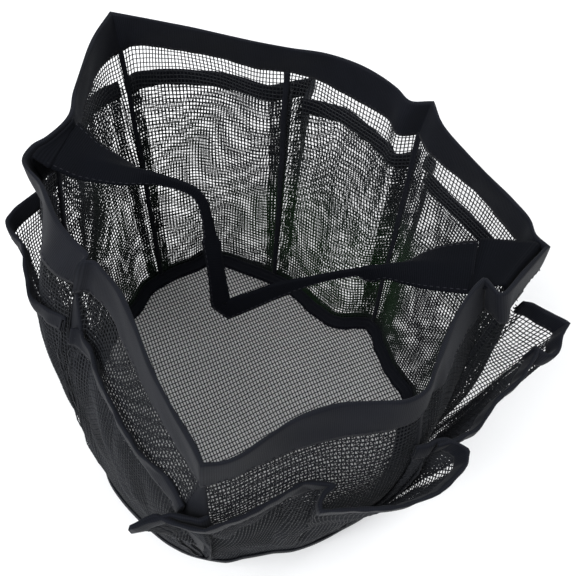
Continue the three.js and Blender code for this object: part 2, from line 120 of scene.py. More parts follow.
@dataclass(frozen=True)
class Signal:
    """A number that runs through a material, with the usual operators on it."""

    nodes: "Nodes"
    socket: bpy.types.NodeSocket

    def _maths(self, operation: str, *others: "Signal | float") -> "Signal":
        """Adds a Math node on this signal and others, and returns its result."""
        found = [self, *others]
        return self.nodes.make("ShaderNodeMath", {"operation": operation}, dict(enumerate(found)))

    def __add__(self, other: "Signal | float") -> "Signal":
        """Sum."""
        return self._maths("ADD", other)

    def __sub__(self, other: "Signal | float") -> "Signal":
        """Difference."""
        return self._maths("SUBTRACT", other)

    def __rsub__(self, other: float) -> "Signal":
        """Difference, reflected."""
        return self * -1.0 + other

    def __mul__(self, other: "Signal | float") -> "Signal":
        """Product."""
        return self._maths("MULTIPLY", other)

    def __abs__(self) -> "Signal":
        """Size without sign."""
        return self._maths("ABSOLUTE")

    def sine(self) -> "Signal":
        """Sine of the signal in radians."""
        return self._maths("SINE")

    def larger(self, other: "Signal | float") -> "Signal":
        """The larger of two."""
        return self._maths("MAXIMUM", other)

    def clamped(self) -> "Signal":
        """The signal held between 0 and 1."""
        return self._maths("MAXIMUM", 0.0)._maths("MINIMUM", 1.0)


@dataclass
class Nodes:
    """One material's node tree."""

    tree: bpy.types.NodeTree

    def make(
        self, kind: str, settings: dict[str, object], values: dict[int | str, object], output: int | str = 0,
    ) -> Signal:
        """Adds a node.

        Args:
            kind: the node's type.
            settings: its own settings, which are set first.
            values: a value or a Signal for each of its sockets, by number or name.
            output: the output to return.

        Returns:
            The output as a Signal.
        """
        fed = {name: value.socket if isinstance(value, Signal) else value for name, value in values.items()}
        return Signal(self, add_node(self.tree, kind, settings, fed).outputs[output])

    def ramp(self, factor: Signal, stops: Sequence[tuple[float, Triple]]) -> Signal:
        """A colour ramp over a factor.

        Args:
            factor: what runs over the ramp.
            stops: place and colour of each stop, in rising order.

        Returns:
            The colour.
        """
        result = self.make("ShaderNodeValToRGB", {}, {"Fac": factor})
        ramp = result.socket.node.color_ramp
        while len(ramp.elements) < len(stops):
            ramp.elements.new(0.5)
        for element, (place, colour) in zip(ramp.elements, stops, strict=True):
            element.position = place
            element.color = (*colour, 1.0)
        return result

    def noise(self, where: Signal, scale: float, detail: float = 2.0, roughness: float = 0.5) -> Signal:
        """Soft noise about 0.5.

        Args:
            where: the place at which it is read.
            scale: how fine it is.
            detail: how many finer layers it has.
            roughness: how strong those layers are.

        Returns:
            The noise.
        """
        return self.make(
            "ShaderNodeTexNoise", {"noise_dimensions": "3D"},
            {"Vector": where, "Scale": scale, "Detail": detail, "Roughness": roughness},
        )

    def blend(self, factor: Signal, low: Signal | tuple[float, ...], high: Signal | tuple[float, ...]) -> Signal:
        """A colour between two.

        Args:
            factor: 0 for the first colour, 1 for the second.
            low: the first colour.
            high: the second colour.

        Returns:
            The colour.
        """
        node = self.tree.nodes.new("ShaderNodeMix")
        node.data_type = "RGBA"
        node.clamp_factor = True
        sockets = [s for s in node.inputs if s.type == "RGBA"]
        self.tree.links.new(factor.socket, node.inputs[0])
        for socket, value in zip(sockets, (low, high), strict=True):
            if isinstance(value, Signal):
                self.tree.links.new(value.socket, socket)
            else:
                socket.default_value = (*value[:3], 1.0)
        return Signal(self, next(s for s in node.outputs if s.type == "RGBA"))

    def parts(self, vector: Signal) -> tuple[Signal, Signal, Signal]:
        """A vector's X, Y and Z."""
        node = self.make("ShaderNodeSeparateXYZ", {}, {"Vector": vector}).socket.node
        return tuple(Signal(self, output) for output in node.outputs)

    def object_place(self) -> Signal:
        """The place on the object, in metres."""
        return self.make("ShaderNodeTexCoord", {}, {}, "Object")

    def map_place(self, name: str) -> Signal:
        """The place on a UV map."""
        return self.make("ShaderNodeUVMap", {"uv_map": name}, {}, "UV")

    def seen(self) -> Signal:
        """1 for rays that the camera, a reflection or a see-through surface sends, and 0 for light.

        Returns:
            The share, as a Signal.
        """
        path = self.make("ShaderNodeLightPath", {}, {}, "Is Camera Ray")
        glossy, passed = (
            Signal(self, path.socket.node.outputs[name]) for name in ("Is Glossy Ray", "Is Transmission Ray")
        )
        return path.larger(glossy).larger(passed)


def new_material(name: str) -> tuple[bpy.types.Material, Nodes, bpy.types.Node]:
    """A material with only its Principled shader and output.

    Args:
        name: the material's name.

    Returns:
        The material, its nodes and the Principled node.
    """
    material = bpy.data.materials.new(name)
    material.use_nodes = True
    shader = next(n for n in material.node_tree.nodes if n.type == "BSDF_PRINCIPLED")
    return material, Nodes(material.node_tree), shader


@dataclass(frozen=True)
class NetFinish:
    """Dull black polyester thread. back tints patches low on the far half of the bag."""

    name: str
    dark: Triple
    light: Triple
    back: Triple | None = None
    back_top: float = 0.145
    back_blur: float = 14.0
    cloud_scale: float = 26.0
    grain_scale: float = 900.0
    patch_scale: float = 17.0
    roughness: float = 0.6
    specular: float = 0.12

    def material(self) -> bpy.types.Material:
        """Builds the thread's material.

        Returns:
            The material.
        """
        material, nodes, shader = new_material(self.name)
        place = nodes.object_place()
        cloud = nodes.noise(place, self.cloud_scale, detail=3.0, roughness=0.6)
        grain = nodes.noise(place, self.grain_scale, detail=1.0)
        shade = (cloud * 0.75 + grain * 0.5 - 0.12).clamped()
        colour = nodes.ramp(shade, ((0.3, self.dark), (0.75, self.light)))
        if self.back is not None:
            _, depth, height = nodes.parts(place)
            low = ((self.back_top - height) * self.back_blur).clamped()
            patches = (nodes.noise(place, self.patch_scale, detail=1.0) * 4.0 - 1.5).clamped()
            far = (depth * self.back_blur - 0.1).clamped()
            colour = nodes.blend(far * patches * low, colour, self.back)
        material.node_tree.links.new(colour.socket, shader.inputs["Base Color"])
        rough = grain * 0.2 + (self.roughness - 0.1)
        material.node_tree.links.new(rough.socket, shader.inputs["Roughness"])
        shader.inputs["Specular IOR Level"].default_value = self.specular
        return material


@dataclass(frozen=True)
class ClothFinish:
    """Ribbed nylon: fine ribs across the band, crossed by finer yarns. The colour follows the same weave as the bump,
    with painted shade in the rib valleys and painted highlight on the crests; cloud and fuzz vary the tone at random.
    """

    name: str
    # Colour in the rib valleys, darkened as painted shade, and on the crests, lightened as painted highlight
    shaded_valley: Triple
    lit_crest: Triple
    rib_mm: float = 0.95
    yarn_mm: float = 0.55
    depth_mm: float = 0.25
    cloud_scale: float = 45.0
    wander_scale: float = 160.0
    fuzz_scale: float = 1400.0
    roughness: float = 0.62
    bump: float = 0.35
    sheen: float = 0.03
    specular: float = 0.07

    def material(self) -> bpy.types.Material:
        """Builds the cloth's material.

        Returns:
            The material.
        """
        material, nodes, shader = new_material(self.name)
        links = material.node_tree.links
        along, across, _ = nodes.parts(nodes.map_place(WEAVE_MAP))
        place = nodes.object_place()
        cloud = nodes.noise(place, self.cloud_scale, detail=3.0, roughness=0.6)
        wander = nodes.noise(place, self.wander_scale, detail=2.0)
        rib = abs((along * (math.pi / (self.rib_mm * MM)) + wander * 0.8).sine())
        yarn = abs((across * (math.pi / (self.yarn_mm * MM)) + wander * 0.8).sine())
        weave = rib * 0.7 + yarn * 0.3
        fuzz = nodes.noise(place, self.fuzz_scale, detail=1.0)
        # The weave darkens the rib valleys and lightens the crests, where the bump is low and high: painted shade and
        # painted highlight; cloud and fuzz vary the tone at random
        shade = (weave * 0.55 + cloud * 0.55 + fuzz * 0.2 - 0.22).clamped()
        colour = nodes.ramp(shade, ((0.15, self.shaded_valley), (0.85, self.lit_crest)))
        links.new(colour.socket, shader.inputs["Base Color"])
        rough = (1.0 - weave) * 0.18 + (cloud * 0.16 + (self.roughness - 0.1))
        links.new(rough.socket, shader.inputs["Roughness"])
        height = weave * 0.8 + cloud * 0.5
        bump = nodes.make(
            "ShaderNodeBump", {}, {"Strength": self.bump, "Distance": self.depth_mm * MM, "Height": height}, "Normal",
        )
        links.new(bump.socket, shader.inputs["Normal"])
        shader.inputs["Sheen Weight"].default_value = self.sheen
        shader.inputs["Sheen Roughness"].default_value = 0.5
        shader.inputs["Specular IOR Level"].default_value = self.specular
        return material


# Meshes


def mesh_object(
    name: str, points: Array, faces: Sequence[Sequence[int]], edges: Sequence[tuple[int, int]] = (),
) -> bpy.types.Object:
    """A mesh object in the scene.

    Args:
        name: the piece's name.
        points: places in metres.
        faces: corners of each face.
        edges: loose edges.

    Returns:
        The object, at the origin.
    """
    mesh = bpy.data.meshes.new(name)
    mesh.from_pydata(np.asarray(points).tolist(), list(edges), list(faces))
    mesh.update()
    piece = bpy.data.objects.new(name, mesh)
    bpy.context.scene.collection.objects.link(piece)
    return piece


def smooth(piece: bpy.types.Object) -> None:
    """Shades a piece smooth."""
    piece.data.polygons.foreach_set("use_smooth", [True] * len(piece.data.polygons))


def at_height(line: Array, height: Array | float) -> Array:
    """A flat line of points with its height as Z."""
    return np.concatenate([line, np.full((len(line), 1), height)], 1)


def line_lengths(points: Array) -> Array:
    """Distance along a line of points, from its start."""
    steps = np.linalg.norm(np.diff(points, axis=0), axis=1)
    return np.concatenate([[0.0], np.cumsum(steps)])


def monotone(places: Array, values: Array, at: Array) -> Array:
    """Smooth curve through values that never runs past them.

    Args:
        places: rising places.
        values: the value at each.
        at: where to read the curve.

    Returns:
        The curve's values there.
    """
    step = np.diff(places)
    slope = np.diff(values) / step
    tangent = np.zeros(len(places))
    for index in range(1, len(places) - 1):
        before, after = slope[index - 1], slope[index]
        if before * after > 0:
            weight_a, weight_b = 2 * step[index] + step[index - 1], step[index] + 2 * step[index - 1]
            tangent[index] = (weight_a + weight_b) / (weight_a / before + weight_b / after)
    tangent[0], tangent[-1] = slope[0], slope[-1]
    cell = np.clip(np.searchsorted(places, at, side="right") - 1, 0, len(step) - 1)
    t = np.clip((at - places[cell]) / step[cell], 0.0, 1.0)
    low = values[cell] * (1 + 2 * t) * (1 - t) ** 2 + tangent[cell] * step[cell] * t * (1 - t) ** 2
    high = values[cell + 1] * t * t * (3 - 2 * t) + tangent[cell + 1] * step[cell] * t * t * (t - 1)
    return low + high


def rounded_line(points: Array, count: int) -> tuple[Array, Array]:
    """A soft curve through points, with the tightness of the points' own spacing.

    Args:
        points: the points, with one more before the start and after the end.
        count: samples on each stretch.

    Returns:
        For each sample, its stretch number with the share along it, and its place.
    """
    at, found = [], []
    for index in range(1, len(points) - 2):
        p0, p1, p2, p3 = points[index - 1:index + 3]
        d0, d1, d2 = (math.sqrt(max(np.linalg.norm(b - a), 1e-6)) for a, b in ((p0, p1), (p1, p2), (p2, p3)))
        m1 = d1 * ((p1 - p0) / d0 - (p2 - p0) / (d0 + d1) + (p2 - p1) / d1)
        m2 = d1 * ((p2 - p1) / d1 - (p3 - p1) / (d1 + d2) + (p3 - p2) / d2)
        for step in range(count):
            t = step / count
            found.append(
                (2 * t**3 - 3 * t**2 + 1) * p1 + (t**3 - 2 * t**2 + t) * m1
                + (3 * t**2 - 2 * t**3) * p2 + (t**3 - t**2) * m2
            )
            at.append(index - 1 + t)
    at.append(len(points) - 3)
    found.append(points[-2])
    return np.array(at), np.array(found)


def mitred(points: Array, distance: float | Array, closed: bool) -> Array:
    """Moves a flat line of points to its right.

    Args:
        points: the line, as X and Y.
        distance: how far, for all or for each point.
        closed: whether the line comes back to its start.

    Returns:
        The moved line.
    """
    ahead = np.roll(points, -1, axis=0) - points
    normal = np.stack([ahead[:, 1], -ahead[:, 0]], 1)
    normal /= np.maximum(np.linalg.norm(normal, axis=1, keepdims=True), TINY)
    before = np.roll(normal, 1, axis=0)
    if not closed:
        before[0] = normal[0]
        normal[-1] = before[-1]
    both = before + normal
    size = np.maximum(1 + (before * normal).sum(1, keepdims=True), 0.35)
    return points + both / size * np.asarray(distance).reshape(-1, 1)


@dataclass
class Sweep:
    """Sections joined into a closed body, with a map in real size for the weave."""

    name: str
    sections: Array
    closed_path: bool
    bake_rows: int = 1

    def build(self) -> bpy.types.Object:
        """Builds the mesh.

        The outline of each section is its outer side, then its inner side back to the start.

        Returns:
            The piece, in metres, with its two maps.
        """
        count, corners = self.sections.shape[:2]
        spans = count if self.closed_path else count - 1
        faces = [
            (s * corners + c, ((s + 1) % count) * corners + c,
             ((s + 1) % count) * corners + (c + 1) % corners, s * corners + (c + 1) % corners)
            for s in range(spans) for c in range(corners)
        ]
        if not self.closed_path:
            last = (count - 1) * corners
            for c in range(corners // 2 - 1):
                a, b, d, e = c, c + 1, corners - 2 - c, corners - 1 - c
                faces.append((a, b, d, e))
                faces.append((last + e, last + d, last + b, last + a))
        piece = mesh_object(self.name, self.sections.reshape(-1, 3), faces)
        self._maps(piece.data, spans, corners)
        smooth(piece)
        return piece

    def _maps(self, mesh: bpy.types.Mesh, spans: int, corners: int) -> None:
        """Gives the mesh its weave map, in metres, and its bake map, in rows.

        Args:
            mesh: the mesh.
            spans: stretches along the body.
            corners: corners of each section.
        """
        middle = self.sections.mean(1)
        steps = np.linalg.norm(np.roll(middle, -1, axis=0) - middle, axis=1)
        along = np.concatenate([[0.0], np.cumsum(steps)])
        loop = np.concatenate([self.sections, self.sections[:, :1]], 1)
        around_steps = np.linalg.norm(np.diff(loop, axis=1), axis=2).mean(0)
        around = np.concatenate([[0.0], np.cumsum(around_steps)])
        girth = around[-1]
        weave, bake = [], []
        rows = self.bake_rows
        for s in range(spans):
            row = min(int(rows * s / spans), rows - 1)
            start, stop = (along[min(((row + step) * spans + rows - 1) // rows, spans)] for step in (0, 1))
            for c in range(corners):
                for ds, dc in ((0, 0), (1, 0), (1, 1), (0, 1)):
                    u, v = along[s + ds], around[c + dc]
                    weave += [u, v]
                    bake += [0.01 + 0.98 * (u - start) / (stop - start), (row + 0.02 + 0.96 * v / girth) / rows]
        spare = len(mesh.loops) * 2 - len(weave)
        weave += [0.0] * spare
        bake += [0.002] * spare
        mesh.uv_layers.new(name=WEAVE_MAP).data.foreach_set("uv", weave)
        mesh.uv_layers.new(name=BAKE_MAP).data.foreach_set("uv", bake)


# Geometry node trees


@dataclass
class Tree:
    """A geometry node tree that takes a mesh of edges and gives a mesh."""

    name: str
    sizes: dict[str, float | int]
    tree: bpy.types.NodeTree = field(init=False)
    group_in: bpy.types.Node = field(init=False)

    def __post_init__(self) -> None:
        """Makes the tree with its named inputs."""
        self.tree = bpy.data.node_groups.new(self.name, "GeometryNodeTree")
        face = self.tree.interface
        face.new_socket("Geometry", in_out="INPUT", socket_type="NodeSocketGeometry")
        for name, value in self.sizes.items():
            kind = "NodeSocketInt" if isinstance(value, int) else "NodeSocketFloat"
            face.new_socket(name, in_out="INPUT", socket_type=kind).default_value = value
        face.new_socket("Material", in_out="INPUT", socket_type="NodeSocketMaterial")
        face.new_socket("Geometry", in_out="OUTPUT", socket_type="NodeSocketGeometry")
        self.group_in = self.tree.nodes.new("NodeGroupInput")

    def add(self, kind: str, settings: dict[str, object], values: dict[str, object]) -> bpy.types.Node:
        """Adds a node, as add_node does."""
        return add_node(self.tree, kind, settings, values)

    def close(self, geometry: bpy.types.NodeSocket) -> None:
        """Ends the tree: real meshes, smooth shading and the material.

        Args:
            geometry: the output that holds what the tree made.
        """
        real = self.add("GeometryNodeRealizeInstances", {}, {"Geometry": geometry})
        shaded = self.add("GeometryNodeSetShadeSmooth", {}, {"Geometry": real.outputs[0]})
        painted = self.add(
            "GeometryNodeSetMaterial", {},
            {"Geometry": shaded.outputs[0], "Material": self.group_in.outputs["Material"]},
        )
        out = self.tree.nodes.new("NodeGroupOutput")
        self.tree.links.new(painted.outputs[0], out.inputs[0])

    def apply(self, piece: bpy.types.Object, material: bpy.types.Material, **sizes: float) -> bpy.types.Object:
        """Runs the tree on a piece and keeps the result as its plain mesh.

        Args:
            piece: the piece that holds the edges.
            material: the material of what the tree makes.
            sizes: sizes that differ from the tree's own, by name with _ for a space.

        Returns:
            The same piece with the new mesh.
        """
        modifier = piece.modifiers.new(self.name, "NODES")
        modifier.node_group = self.tree
        wanted = {name.replace("_", " "): value for name, value in sizes.items()} | {"Material": material}
        for item in self.tree.interface.items_tree:
            if item.in_out == "INPUT" and item.name in wanted:
                modifier[item.identifier] = wanted[item.name]
        graph = bpy.context.evaluated_depsgraph_get()
        mesh = bpy.data.meshes.new_from_object(piece.evaluated_get(graph), depsgraph=graph)
        piece.modifiers.remove(modifier)
        old = piece.data
        piece.data = mesh
        mesh.name = piece.name
        bpy.data.meshes.remove(old)
        return piece


def thread_tree() -> Tree:
    """The tree that turns edges into round threads.

    Returns:
        The tree, with the thread's radius and its number of sides as inputs.
    """
    tree = Tree("threads", {"Thread radius": 0.0003, "Thread sides": 4})
    ports = tree.group_in.outputs
    line = tree.add("GeometryNodeMeshToCurve", {}, {"Mesh": ports["Geometry"]})
    ring = tree.add(
        "GeometryNodeCurvePrimitiveCircle", {"mode": "RADIUS"},
        {"Resolution": ports["Thread sides"], "Radius": ports["Thread radius"]},
    )
    tube = tree.add("GeometryNodeCurveToMesh", {}, {"Curve": line.outputs[0], "Profile Curve": ring.outputs[0]})
    tree.close(tube.outputs[0])
    return tree


def stitch_tree() -> Tree:
    """The tree that sets a row of stitches along edges.

    Returns:
        The tree, with the stitches' pitch, length and width as inputs.
    """
    tree = Tree("stitches", {"Stitch pitch": 0.0032, "Stitch length": 0.0024, "Stitch width": 0.0006})
    ports = tree.group_in.outputs
    line = tree.add("GeometryNodeMeshToCurve", {}, {"Mesh": ports["Geometry"]})
    marks = tree.add(
        "GeometryNodeResampleCurve", {"mode": "LENGTH"}, {"Curve": line.outputs[0], "Length": ports["Stitch pitch"]},
    )
    bead = tree.add("GeometryNodeMeshUVSphere", {}, {"Segments": 6, "Rings": 4, "Radius": 0.5})
    tangent = tree.add("GeometryNodeInputTangent", {}, {})
    turned = tree.add("FunctionNodeAlignRotationToVector", {"axis": "X"}, {"Vector": tangent.outputs[0]})
    size = tree.add(
        "ShaderNodeCombineXYZ", {},
        {"X": ports["Stitch length"], "Y": ports["Stitch width"], "Z": ports["Stitch width"]},
    )
    set_out = tree.add(
        "GeometryNodeInstanceOnPoints", {},
        {
            "Points": marks.outputs[0], "Instance": bead.outputs[0],
            "Rotation": turned.outputs[0], "Scale": size.outputs[0],
        },
    )
    tree.close(set_out.outputs[0])
    return tree


# The bag's form


@dataclass(frozen=True)
class Panel:
    """One of the bag's eight panels, between two seams.

    rim holds azimuth in degrees and share of the rim radius. mouth holds how far along the
    panel, then the pocket's reach out of the wall and its shift along it, as shares of the gape.
    first and last hold the reach and the shift at the mouth's two ends. pleat is how wide
    the pleats beside the pocket's seams are, in millimetres.
    """

    name: str
    rim: tuple[tuple[float, float], ...]
    mouth: tuple[Triple, ...]
    first: tuple[float, float] = (0.0, 0.0)
    last: tuple[float, float] = (0.0, 0.0)
    pleat: float = 9.0
    sharp_seam: bool = False


PANELS = (
    Panel(
        "right_back",
        ((10.5, 1.08), (13, 1.035), (17, 1.02), (22, 0.973), (33, 0.893), (49, 0.865), (56.5, 0.915)),
        (
            (0.1, 0.14, 0), (0.3, 0.1, 0), (0.45, 0.08, 0), (0.62, 0.1, 0), (0.79, 0.16, 0), (0.88, 0.12, 0),
            (0.95, 0.35, 0),
        ),
        first=(0.1, 0.0),
        last=(0.3, 0.06),
        sharp_seam=True,
    ),
    Panel(
        "back_right",
        ((56.5, 0.915), (60.5, 0.843), (66, 0.858), (72, 0.87), (79, 0.878), (88, 0.875), (99, 0.861)),
        (
            (0.08, 0.1, 0), (0.17, 0.12, 0), (0.38, 0.2, 0), (0.65, 0.33, 0), (0.78, 0.17, 0), (0.87, 0.1, 0),
            (0.9, 0.12, 0), (0.925, 0.72, 0.03), (0.96, 0.66, 0.03),
        ),
        first=(0.3, -0.06),
        last=(0.5, 0.13),
        sharp_seam=True,
    ),
    Panel(
        "back_left",
        ((99, 0.861), (110, 0.887), (122, 0.97), (131, 1.07), (139, 1.2)),
        (
            (0.06, 0.36, 0), (0.12, 0.29, 0), (0.25, 0.33, 0), (0.36, 0.3, 0), (0.52, 0.21, 0), (0.69, 0.19, 0),
            (0.8, 0.14, 0), (0.9, 0.1, 0),
        ),
        first=(0.5, -0.13),
        last=(0.1, 0.0),
    ),
    Panel(
        "left_back",
        ((139, 1.2), (145, 1.115), (151.5, 1.02), (160, 0.923), (167, 0.857), (176, 0.872)),
        ((0.1, 0.15, 0), (0.35, 0.25, 0), (0.65, 0.35, 0), (0.85, 0.4, 0), (0.94, 0.35, 0)),
        first=(0.1, 0.0),
        last=(0.28, 0.08),
        sharp_seam=True,
    ),
    Panel(
        "left_front",
        (
            (176, 0.872), (180, 0.905), (185, 0.91), (191, 0.817), (203, 0.738), (212, 0.68), (217.5, 0.652),
            (219.5, 0.675),
        ),
        (
            (0.1, 0.6, 0), (0.16, 0.6, -0.03), (0.25, 0.59, -0.1), (0.33, 0.52, -0.05), (0.5, 0.4, 0),
            (0.72, 0.28, 0), (0.79, 0.31, 0), (0.9, 0.22, 0),
        ),
        first=(0.26, -0.22),
        last=(0.15, 0.0),
        pleat=3.0,
    ),
    Panel(
        "front_left",
        (
            (219.5, 0.675), (220.8, 0.638), (225, 0.624), (234, 0.614), (246, 0.656),
            (259, 0.763), (267.5, 0.86), (274, 0.955), (277, 1.024),
        ),
        ((0.1, 0.28, 0), (0.35, 0.36, 0), (0.65, 0.34, 0), (0.85, 0.2, 0), (0.94, 0.1, 0)),
        sharp_seam=True,
    ),
    Panel(
        "front_right",
        (
            (277, 1.024), (280.5, 1.008), (283.5, 0.98), (289, 0.91), (296, 0.85),
            (306, 0.835), (314, 0.874), (320, 0.917), (325, 0.919),
        ),
        (
            (0.05, 0, -0.35), (0.09, -0.35, -0.95), (0.13, -0.75, -1.5), (0.17, -0.63, -1.7), (0.24, -0.08, -1.6),
            (0.28, 0.19, -1.43), (0.33, 0.45, -1.19), (0.4, 0.46, -0.8), (0.46, 0.36, -0.48), (0.51, 0.26, -0.18),
            (0.56, 0.42, 0.07), (0.58, 0.47, -0.16), (0.6, 0.58, -0.36), (0.62, 0.7, -0.46), (0.66, 0.77, -0.25),
            (0.71, 0.88, 0.05), (0.75, 0.93, 0.25), (0.82, 0.89, 0.63), (0.89, 0.6, 1.02), (0.92, 0.42, 1.03),
            (0.96, 0.17, 0.61),
        ),
        last=(0.15, 0.0),
        sharp_seam=True,
    ),
    Panel(
        "right_front",
        (
            (325, 0.919), (329, 0.888), (333, 0.86), (343, 0.822), (352.3, 0.826), (357.2, 0.85),
            (358.2, 0.862), (355.4, 0.925), (356.2, 0.942), (363.5, 1), (370.5, 1.08),
        ),
        (
            (0.05, 0.63, 0.22), (0.13, 0.78, 0.31), (0.2, 0.78, 0.34), (0.28, 0.82, 0.36), (0.44, 1.0, 0.42),
            (0.72, 0.87, 0.7), (0.77, 0.88, 0.75), (0.82, 0.86, 0.78), (0.89, 0.5, 0.48), (0.96, 0.25, 0.2),
        ),
        first=(0.4, 0.1),
        last=(0.1, 0.0),
        pleat=4.0,
    ),
)


# The base from above, from the first seam: azimuth in degrees and share of the round base's radius
BASE = (
    (5, 1.04), (14, 1.07), (19, 1.07), (25, 1.02), (32, 0.985), (40, 0.99), (46, 1.02), (51, 1.015),
    (55, 0.95), (59, 0.86), (64, 0.825), (71, 0.825), (79, 0.86), (86, 0.895), (97, 0.94), (106, 0.985),
    (115, 1.055), (122, 1.085), (127, 1.055), (137, 1.045), (146, 1.035), (158, 0.97), (170, 0.975),
    (185, 0.975), (200, 0.95), (211, 0.92), (218, 0.9), (226, 0.925), (234, 0.957), (246, 0.975),
    (256, 0.995), (264, 1.018), (272, 1.03), (281, 1.03), (288, 1.0), (297, 0.985), (304, 1.0), (320, 1.005),
    (330, 1.03), (342, 1.05), (355, 1.05), (365, 1.04),
)


# How far the hem's lower edge stands out of the rim: azimuth and share of the rim radius
LEAN = (
    (10.5, 0.005), (17, 0.017), (24, 0.03), (31, 0.038), (39, 0.022), (44, 0.004), (51, -0.02), (56.5, -0.03),
    (60, -0.035), (65, -0.012), (77, -0.022), (83, -0.012), (90, 0.02), (98, 0.04), (107, 0.026), (118, 0.045),
    (132, 0.032), (136, 0.005), (139, -0.05), (143, -0.02), (150, 0.0), (176, -0.02), (185, -0.04), (190, -0.01),
    (195, 0.027), (201, 0.057), (208, 0.1), (213, 0.09), (217, 0.06), (222, 0.036), (230, 0.026), (243, 0.035),
    (259, 0.022), (270, 0.015), (277, 0.004), (281, -0.01), (285, -0.005), (291, 0.022), (298, 0.038),
    (307, 0.043), (315, 0.032), (320, 0.014), (329, 0.016), (335, 0.05), (348, 0.05), (356, 0.05), (360, 0.015),
    (370.5, 0.005),
)


# How much of the belly each part of the wall has: azimuth and share
BELLY = (
    (5, 0.25), (30, 0.1), (55, 0.0), (150, 0.0), (175, 0.15), (200, 0.5), (225, 0.9), (250, 1.0), (300, 1.0),
    (330, 0.8), (350, 0.45), (365, 0.25),
)


# Waves in the slack cloth: size, waves round the bag, radians over its height and start
RIPPLES = ((0.5, 11, 5.0, 1.3), (0.34, 23, -9.0, 0.4), (0.26, 7, 17.0, 0.0), (0.2, 31, 13.0, 2.1))


@dataclass
class Form:
    """The bag's middle surface: it rises from its base to the hem and on to the folded rim."""

    middle: Array
    height: float = 200.0
    rim_radius: float = 127.0
    wall_radius: float = 102.4
    hem_bottom: float = 178.0
    rise_power: float = 1.1
    seam_turn: float = 5.0
    mouth_height: float = 157.0
    foot_top: float = 6.3
    belly_size: float = 12.0
    belly_height: float = 120.0
    pocket_inset: float = 0.7
    fold_softness: float = 0.3
    pocket_gape: float = 30.0
    flare_power: float = 1.3
    layer_pitch: float = 1.1
    mouth_pitch: float = 2.2
    ripple_size: float = 1.1
    calm_foot: float = 4.0
    slack_height: float = 176.0
    seat_height: float = 36.0
    own_ripple: float = 0.9
    mouth_samples: int = 300
    rims: list[tuple[Array, Array]] = field(init=False)
    rim_lengths: list[float] = field(init=False)

    def __post_init__(self) -> None:
        """Lays out the rim."""
        corners = [self._corners(panel) for panel in PANELS]
        self.rims, self.rim_lengths = [], []
        for index, inner in enumerate(corners):
            after = (index + 1) % len(PANELS)
            start = 2 * inner[0] - inner[1] if PANELS[index].sharp_seam else corners[index - 1][-2]
            end = 2 * inner[-1] - inner[-2] if PANELS[after].sharp_seam else corners[after][1]
            at, line = rounded_line(np.concatenate([[start], inner, [end]]), count=10)
            lengths = line_lengths(inner)
            self.rims.append((np.interp(at, np.arange(len(inner)), lengths / lengths[-1]), line))
            self.rim_lengths.append(float(lengths[-1]))

    def _corners(self, panel: Panel) -> Array:
        """A panel's rim corners as X and Y.

        Args:
            panel: the panel.

        Returns:
            The corners, in millimetres.
        """
        turned = np.radians([azimuth for azimuth, _ in panel.rim])
        reach = self.rim_radius * np.array([share for _, share in panel.rim])
        return np.stack([reach * np.cos(turned), reach * np.sin(turned)], 1)

    def forward(self, index: int) -> Array:
        """A panel's direction along, from seam to seam at the mouth, as X and Y."""
        start, end = (self.plain_wall(index, side, self.mouth_height) for side in (0.0, 1.0))
        return (end - start) / np.linalg.norm(end - start)

    def place(self, points: Array) -> Array:
        """Millimetres about the base's middle, as metres in the model's frame."""
        return np.asarray(points, float) * MM + self.middle

    def ripple(self, index: int, along: Array, height: Array) -> Array:
        """How far the cloth stands out of its smooth form, in millimetres.

        Args:
            index: number of the panel.
            along: share of the way along the panel.
            height: height over the floor.

        Returns:
            The distance at each place.
        """
        turn = (index + along) * TURN / len(PANELS)
        rise = height / self.height
        rising = np.clip((height - self.calm_foot) / self.slack_height, 0, 1)
        held = np.clip(np.sin(np.pi * rising), 0, 1) ** 0.6
        waves = sum(size * np.sin(around * turn + up * rise + start) for size, around, up, start in RIPPLES)
        return self.ripple_size * held * waves

    def azimuth(self, index: int, along: Array) -> Array:
        """Where the base has a place of a panel, in degrees."""
        return self.seam_turn + (index + along) * 360 / len(PANELS)

    def belly(self, index: int, along: Array, height: Array) -> Array:
        """How far the slack wall sags outwards, in millimetres.

        Args:
            index: number of the panel.
            along: share of the way along the panel.
            height: height over the floor.

        Returns:
            The distance at each place.
        """
        shares = np.array(BELLY)
        turn = self.azimuth(index, along)
        below = np.sin(np.clip(height / self.belly_height, 0, 1) * np.pi / 2) ** 1.3
        upper = (height - self.belly_height) / (self.hem_bottom - self.belly_height)
        above = np.cos(np.clip(upper, 0, 1) * np.pi / 2)
        return self.belly_size * monotone(shares[:, 0], shares[:, 1], turn) * below * above

    def plain_wall(self, index: int, along: Array, height: Array) -> Array:
        """Places on the wall without ripples, as X and Y.

        Args:
            index: number of the panel.
            along: share of the way along the panel.
            height: height over the floor.

        Returns:
            The places, in millimetres.
        """
        along, height = np.broadcast_arrays(np.asarray(along, float), np.asarray(height, float))
        spots, leans = np.array(BASE), np.array(LEAN)
        turn = self.azimuth(index, along)
        foot = self.wall_radius * monotone(spots[:, 0], spots[:, 1], turn)
        base = np.stack([foot * np.cos(np.radians(turn)), foot * np.sin(np.radians(turn))], -1)
        places, line = self.rims[index]
        rim = np.stack([np.interp(along, places, line[:, 0]), np.interp(along, places, line[:, 1])], -1)
        azimuth = (np.degrees(np.arctan2(rim[..., 1], rim[..., 0])) - leans[0, 0]) % 360 + leans[0, 0]
        lean = self.rim_radius * monotone(leans[:, 0], leans[:, 1], azimuth)
        reach = np.linalg.norm(rim, axis=-1)
        chest = rim * (1 + lean / reach)[..., None]
        low = np.clip(height / self.hem_bottom, 0, 1)[..., None] ** self.rise_power
        high = np.clip((height - self.hem_bottom) / (self.height - self.hem_bottom), 0, 1)[..., None]
        return (base * (1 - low) + chest * low) * (1 - high) + rim * high

